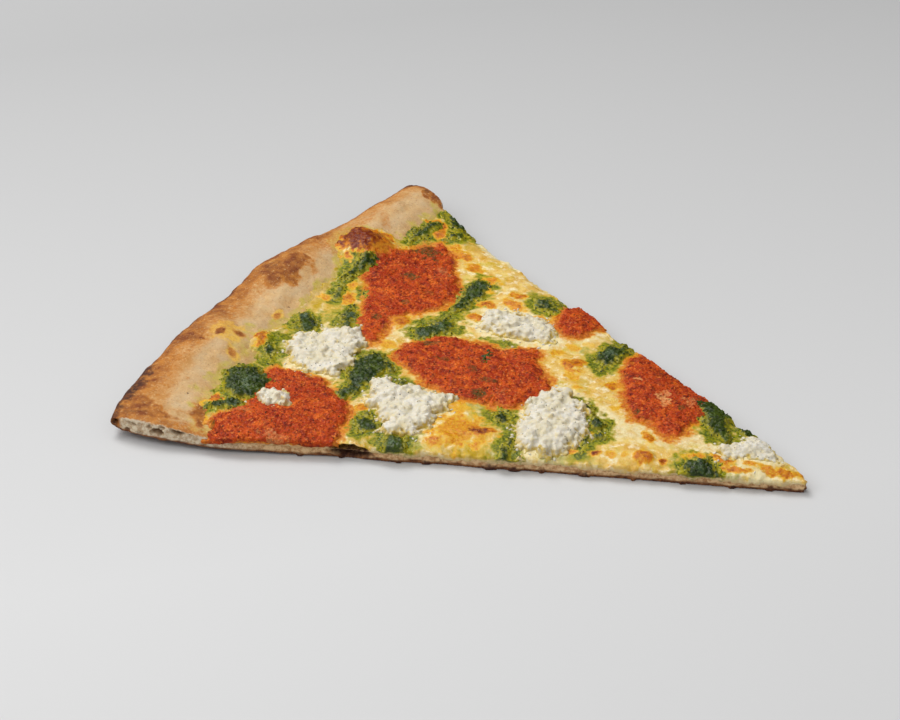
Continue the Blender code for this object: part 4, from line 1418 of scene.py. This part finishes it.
# %% A heap of curds
CURD_VOXEL = 0.34
FULL_CURDS = 3.4  # a dollop lower than this has smaller curds
CURD_SHAPE = np.array((1, 0.9, 0.5))
CURD_LAYERS = ((1.6, 0.08, 0.9, 2.0), (0.5, 0.25, 0.5, 1.2), (-0.6, 0.3, 0.3, 0.7))
CRUMB_LIFT = 1.5  # the smallest dollop lies on a pool of sauce, and has to stand out of it
FUSED_EDGE = 2.6  # how wide a fused dollop's edge is coloured


def joined(name, pieces):
    """Makes one object of several, by copying all their faces into the first one's place."""
    mesh = bmesh.new()
    for piece in pieces:
        mesh.from_mesh(piece.data)
        bpy.data.objects.remove(piece)
    data = bpy.data.meshes.new(name)
    mesh.to_mesh(data)
    mesh.free()
    return show(name, data)


def curds_on(skin, depth, size, seed):
    """Three layers of curds, from a few large ones in the middle to many small ones out to the edge."""
    for layer, (inset, density, small, large) in enumerate(CURD_LAYERS):
        smallest, largest = small * size * CURD_SHAPE, large * size * CURD_SHAPE
        inner = trimmed(fine_triangles, depth > inset)
        yield strewn(
            "curds", skin, inner, small * size, density / size**2, smallest, largest, 3, seed + layer,
            ricotta_curd,
        )


def fused(piece):
    """A piece's parts as one soft skin."""
    fill_with_cells(piece, CURD_VOXEL)
    soften = piece.modifiers.new("soften", "SMOOTH")
    soften.factor = 0.5
    soften.iterations = 4
    return made_plain(piece)


# %% Ricotta pieces
thickness["ricotta_crumb"] *= CRUMB_LIFT
ricotta_pieces, ricotta_depths = {}, []
for number, node in enumerate(sorted(outlines)):
    if kind_of(node) != "ricotta":
        continue
    heap, skin, depth = topping(node, ricotta_shape, 0.4, ricotta_curd)
    ricotta_depths.append(depth)
    curds = curds_on(skin, depth, min(1.0, thickness[node] / FULL_CURDS), number * 10)
    whole = fused(joined(node + "_piece", [heap, *curds]))
    places = spots_of(whole)
    paint(whole, edge=fade(FUSED_EDGE, 0.0, covered(places[:, :2], node)))
    grains = 0.14 * noise(places, 1.0, 105, 2) + 0.12 * noise(places, 2.4, 106)
    move_to(whole, places + numbers_of(whole.data, "normal") * grains[:, None])
    whole.data.shade_smooth()
    dress(whole, ricotta_curd)
    ricotta_pieces[node] = whole
    print(node, "has", len(whole.data.polygons), "faces")

# %% Ricotta crumbs round the dollops
CRUMBS_REACH = (-3.6, 0.3)

cheese_skin = np.column_stack((fine_flat, fine_base))
crumb_triangles = [
    trimmed(fine_triangles, (depth > CRUMBS_REACH[0]) & (depth < CRUMBS_REACH[1])) + len(fine_flat) * number
    for number, depth in enumerate(ricotta_depths)
]
crumbs = strewn(
    "ricotta_crumbs", np.tile(cheese_skin, (len(ricotta_depths), 1)), np.concatenate(crumb_triangles),
    0.7, 0.07, (0.2, 0.2, 0.15), (0.9, 0.75, 0.5), 2, 7, ricotta_curd,
)

# %% [markdown]
# ## Ground pepper and dried herbs
#
# Dark flecks lie on the ricotta and the sauce. They are the smallest things that show, a quarter to one
# millimetre across, so twenty faces each are enough.

# %% Flecks
STEEPEST = 0.6  # flecks lie only where a face looks up at least this much

dried_herb, tree, shader = new_material(
    "dried herb and pepper flecks",  # dry and dull
    Specular_IOR_Level=0.3,
)
colour = mottled(tree, "#1E1A12", "#3C3A22", 3, 0.4, 0.6, 2, 0.5)
finish_with(tree, shader, colour, lumpy(tree, 1), (0.3, 0.7, 0.5, 0.8), lumpy(tree, 0.5), 0.05)


def upper_skin(pieces):
    """The upward faces of some pieces, as places and triangles."""
    places, triangles, count = [], [], 0
    for piece in pieces:
        mesh = bmesh.new()
        mesh.from_mesh(piece.data)
        bmesh.ops.triangulate(mesh, faces=mesh.faces)
        corners = [[v.index for v in face.verts] for face in mesh.faces if face.normal.z > STEEPEST]
        places.append(np.array([v.co for v in mesh.verts]) / MM - POINT)
        triangles.append(np.array(corners) + count)
        count += len(mesh.verts)
        mesh.free()
    return np.concatenate(places), np.concatenate(triangles)


pepper = strewn(
    "pepper_flecks", *upper_skin(ricotta_pieces.values()), 1.0, 0.06,
    (0.12, 0.1, 0.08), (0.32, 0.26, 0.14), 1, 8, dried_herb,
)
herbs = strewn(
    "herb_flecks", *flesh_skin, 2.0, 0.03, (0.15, 0.12, 0.12), (0.45, 0.3, 0.3), 1, 9, dried_herb
)

# %% [markdown]
# ## What each piece stands for
#
# Every piece belongs to the slice's one body. The large pieces take the place of the CAD solids whose shape
# they refine, and the strewn bits are extra. The table lists with each the slot of the record that its
# finish comes from.

# %% Riding and replacing
stands_for = [
    (dough, ["crust"], "baked_dough"),
    (cheese, ["cheese"], "melted_cheese"),
    *[(piece, [node], "vodka_sauce") for node, piece in sauce_pieces.items()],
    *[(piece, [node], "pesto") for node, piece in pesto_pieces.items()],
    *[(piece, [node], "ricotta") for node, piece in ricotta_pieces.items()],
    (flesh, [], "vodka_sauce"),
    (leaves, [], "pesto"),
    (crumbs, [], "ricotta"),
    (pepper, [], "pesto"),
    (herbs, [], "pesto"),
]
for piece, nodes, slot in stands_for:
    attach(piece, "root")
    if nodes:
        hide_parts(*nodes)
print(len(stands_for), "pieces ride on the one body")

# %% [markdown]
# ## Floor, light and camera
#
# The slice lies on a wide sheet of matt paper whose grey is painted darker a little to the back, as painted
# shade for the light's fall-off. Three large softboxes give the soft shadows of a studio: the strongest from
# behind, so that the wet toppings glint, one from the left and a faint one from the front for the cut. A
# long lens keeps the slice's proportions true.

# %% The floor
FLOOR_REACH = 4.0
BELOW = 0.0001  # a gap too small to see, so that the slice doesn't flicker into the paper
AIM = Vector((-0.0262, 0.0060, 0.0))
AZIMUTH, ELEVATION, STAND_OFF = math.radians(32.1), math.radians(31.1), 0.893
DARKENS_TO = AZIMUTH + 0.25
DARKENS_FROM_TO = (-0.08, 0.32)

paper, tree, shader = new_material(
    "pale matt paper",  # loose fibres, so no gloss
    Roughness=0.9,
    Specular_IOR_Level=0.1,
)
# painted shade: the paper's grey darkens towards the back for the light's fall-off over the floor
where = add(tree, "ShaderNodeTexCoord").outputs["Object"]
towards_back = {0: where, 1: (-math.sin(DARKENS_TO), math.cos(DARKENS_TO), 0)}
back = add(tree, "ShaderNodeVectorMath", towards_back, operation="DOT_PRODUCT").outputs["Value"]
painted_falloff_grey = laid_over(tree, "#CFCFCF", "#B0B0B0", back, *DARKENS_FROM_TO)
tree.links.new(painted_falloff_grey, shader.inputs["Base Color"])

floor_mesh = bpy.data.meshes.new("floor")
corners = [(x * FLOOR_REACH, y * FLOOR_REACH, -BELOW) for x, y in ((-1, -1), (1, -1), (1, 1), (-1, 1))]
floor_mesh.from_pydata(corners, [], [(0, 1, 2, 3)])
floor_mesh.materials.append(paper)
show("floor", floor_mesh)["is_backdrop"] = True
print("the floor is", 2 * FLOOR_REACH, "m wide")


# %% The camera
FIELD_OF_VIEW = math.radians(20)


def seen_from(azimuth, elevation, distance):
    """A place round the aim. Azimuth 0 looks along +Y, and elevation is the height above the floor."""
    level = math.cos(elevation)
    way = Vector((math.sin(azimuth) * level, -math.cos(azimuth) * level, math.sin(elevation)))
    return AIM + distance * way


def placed(name, data, azimuth, elevation, distance):
    """A camera or a light that looks at the aim."""
    thing = show(name, data)
    thing.location = seen_from(azimuth, elevation, distance)
    thing.rotation_euler = (AIM - thing.location).to_track_quat("-Z", "Y").to_euler()
    return thing


camera = placed("camera", bpy.data.cameras.new("camera"), AZIMUTH, ELEVATION, STAND_OFF)
camera.data.lens = camera.data.sensor_width / (2 * math.tan(FIELD_OF_VIEW / 2))
camera.data.clip_start = 0.01
bpy.context.scene.camera = camera
print("a lens of", round(camera.data.lens, 1), "mm")

# %% The lights
LIGHTS = (  # name, azimuth, elevation, distance, size and power
    ("back softbox", 250, 58, 1.4, 0.7, 13.0),
    ("left softbox", 320, 50, 1.3, 1.0, 7.0),
    ("front fill", 25, 28, 1.6, 1.2, 2.5),
)
for name, azimuth, elevation, distance, size, power in LIGHTS:
    lamp = bpy.data.lights.new(name, "AREA")
    lamp.size = size
    lamp.energy = power
    placed(name, lamp, math.radians(azimuth), math.radians(elevation), distance)
print("lights:", ", ".join(row[0] for row in LIGHTS))

world = bpy.data.worlds.new("studio")
bpy.context.scene.world = world
world.use_nodes = True
world.node_tree.nodes["Background"].inputs["Color"].default_value = linear("#FFFFFF")
world.node_tree.nodes["Background"].inputs["Strength"].default_value = 0.35
world.cycles_visibility.glossy = False
bpy.context.scene.view_settings.view_transform = "Standard"

sizes = {"cad": cad_box, "visual": [list(corner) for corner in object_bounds()]}
print("CAD box", sizes["cad"], "visual box", sizes["visual"])
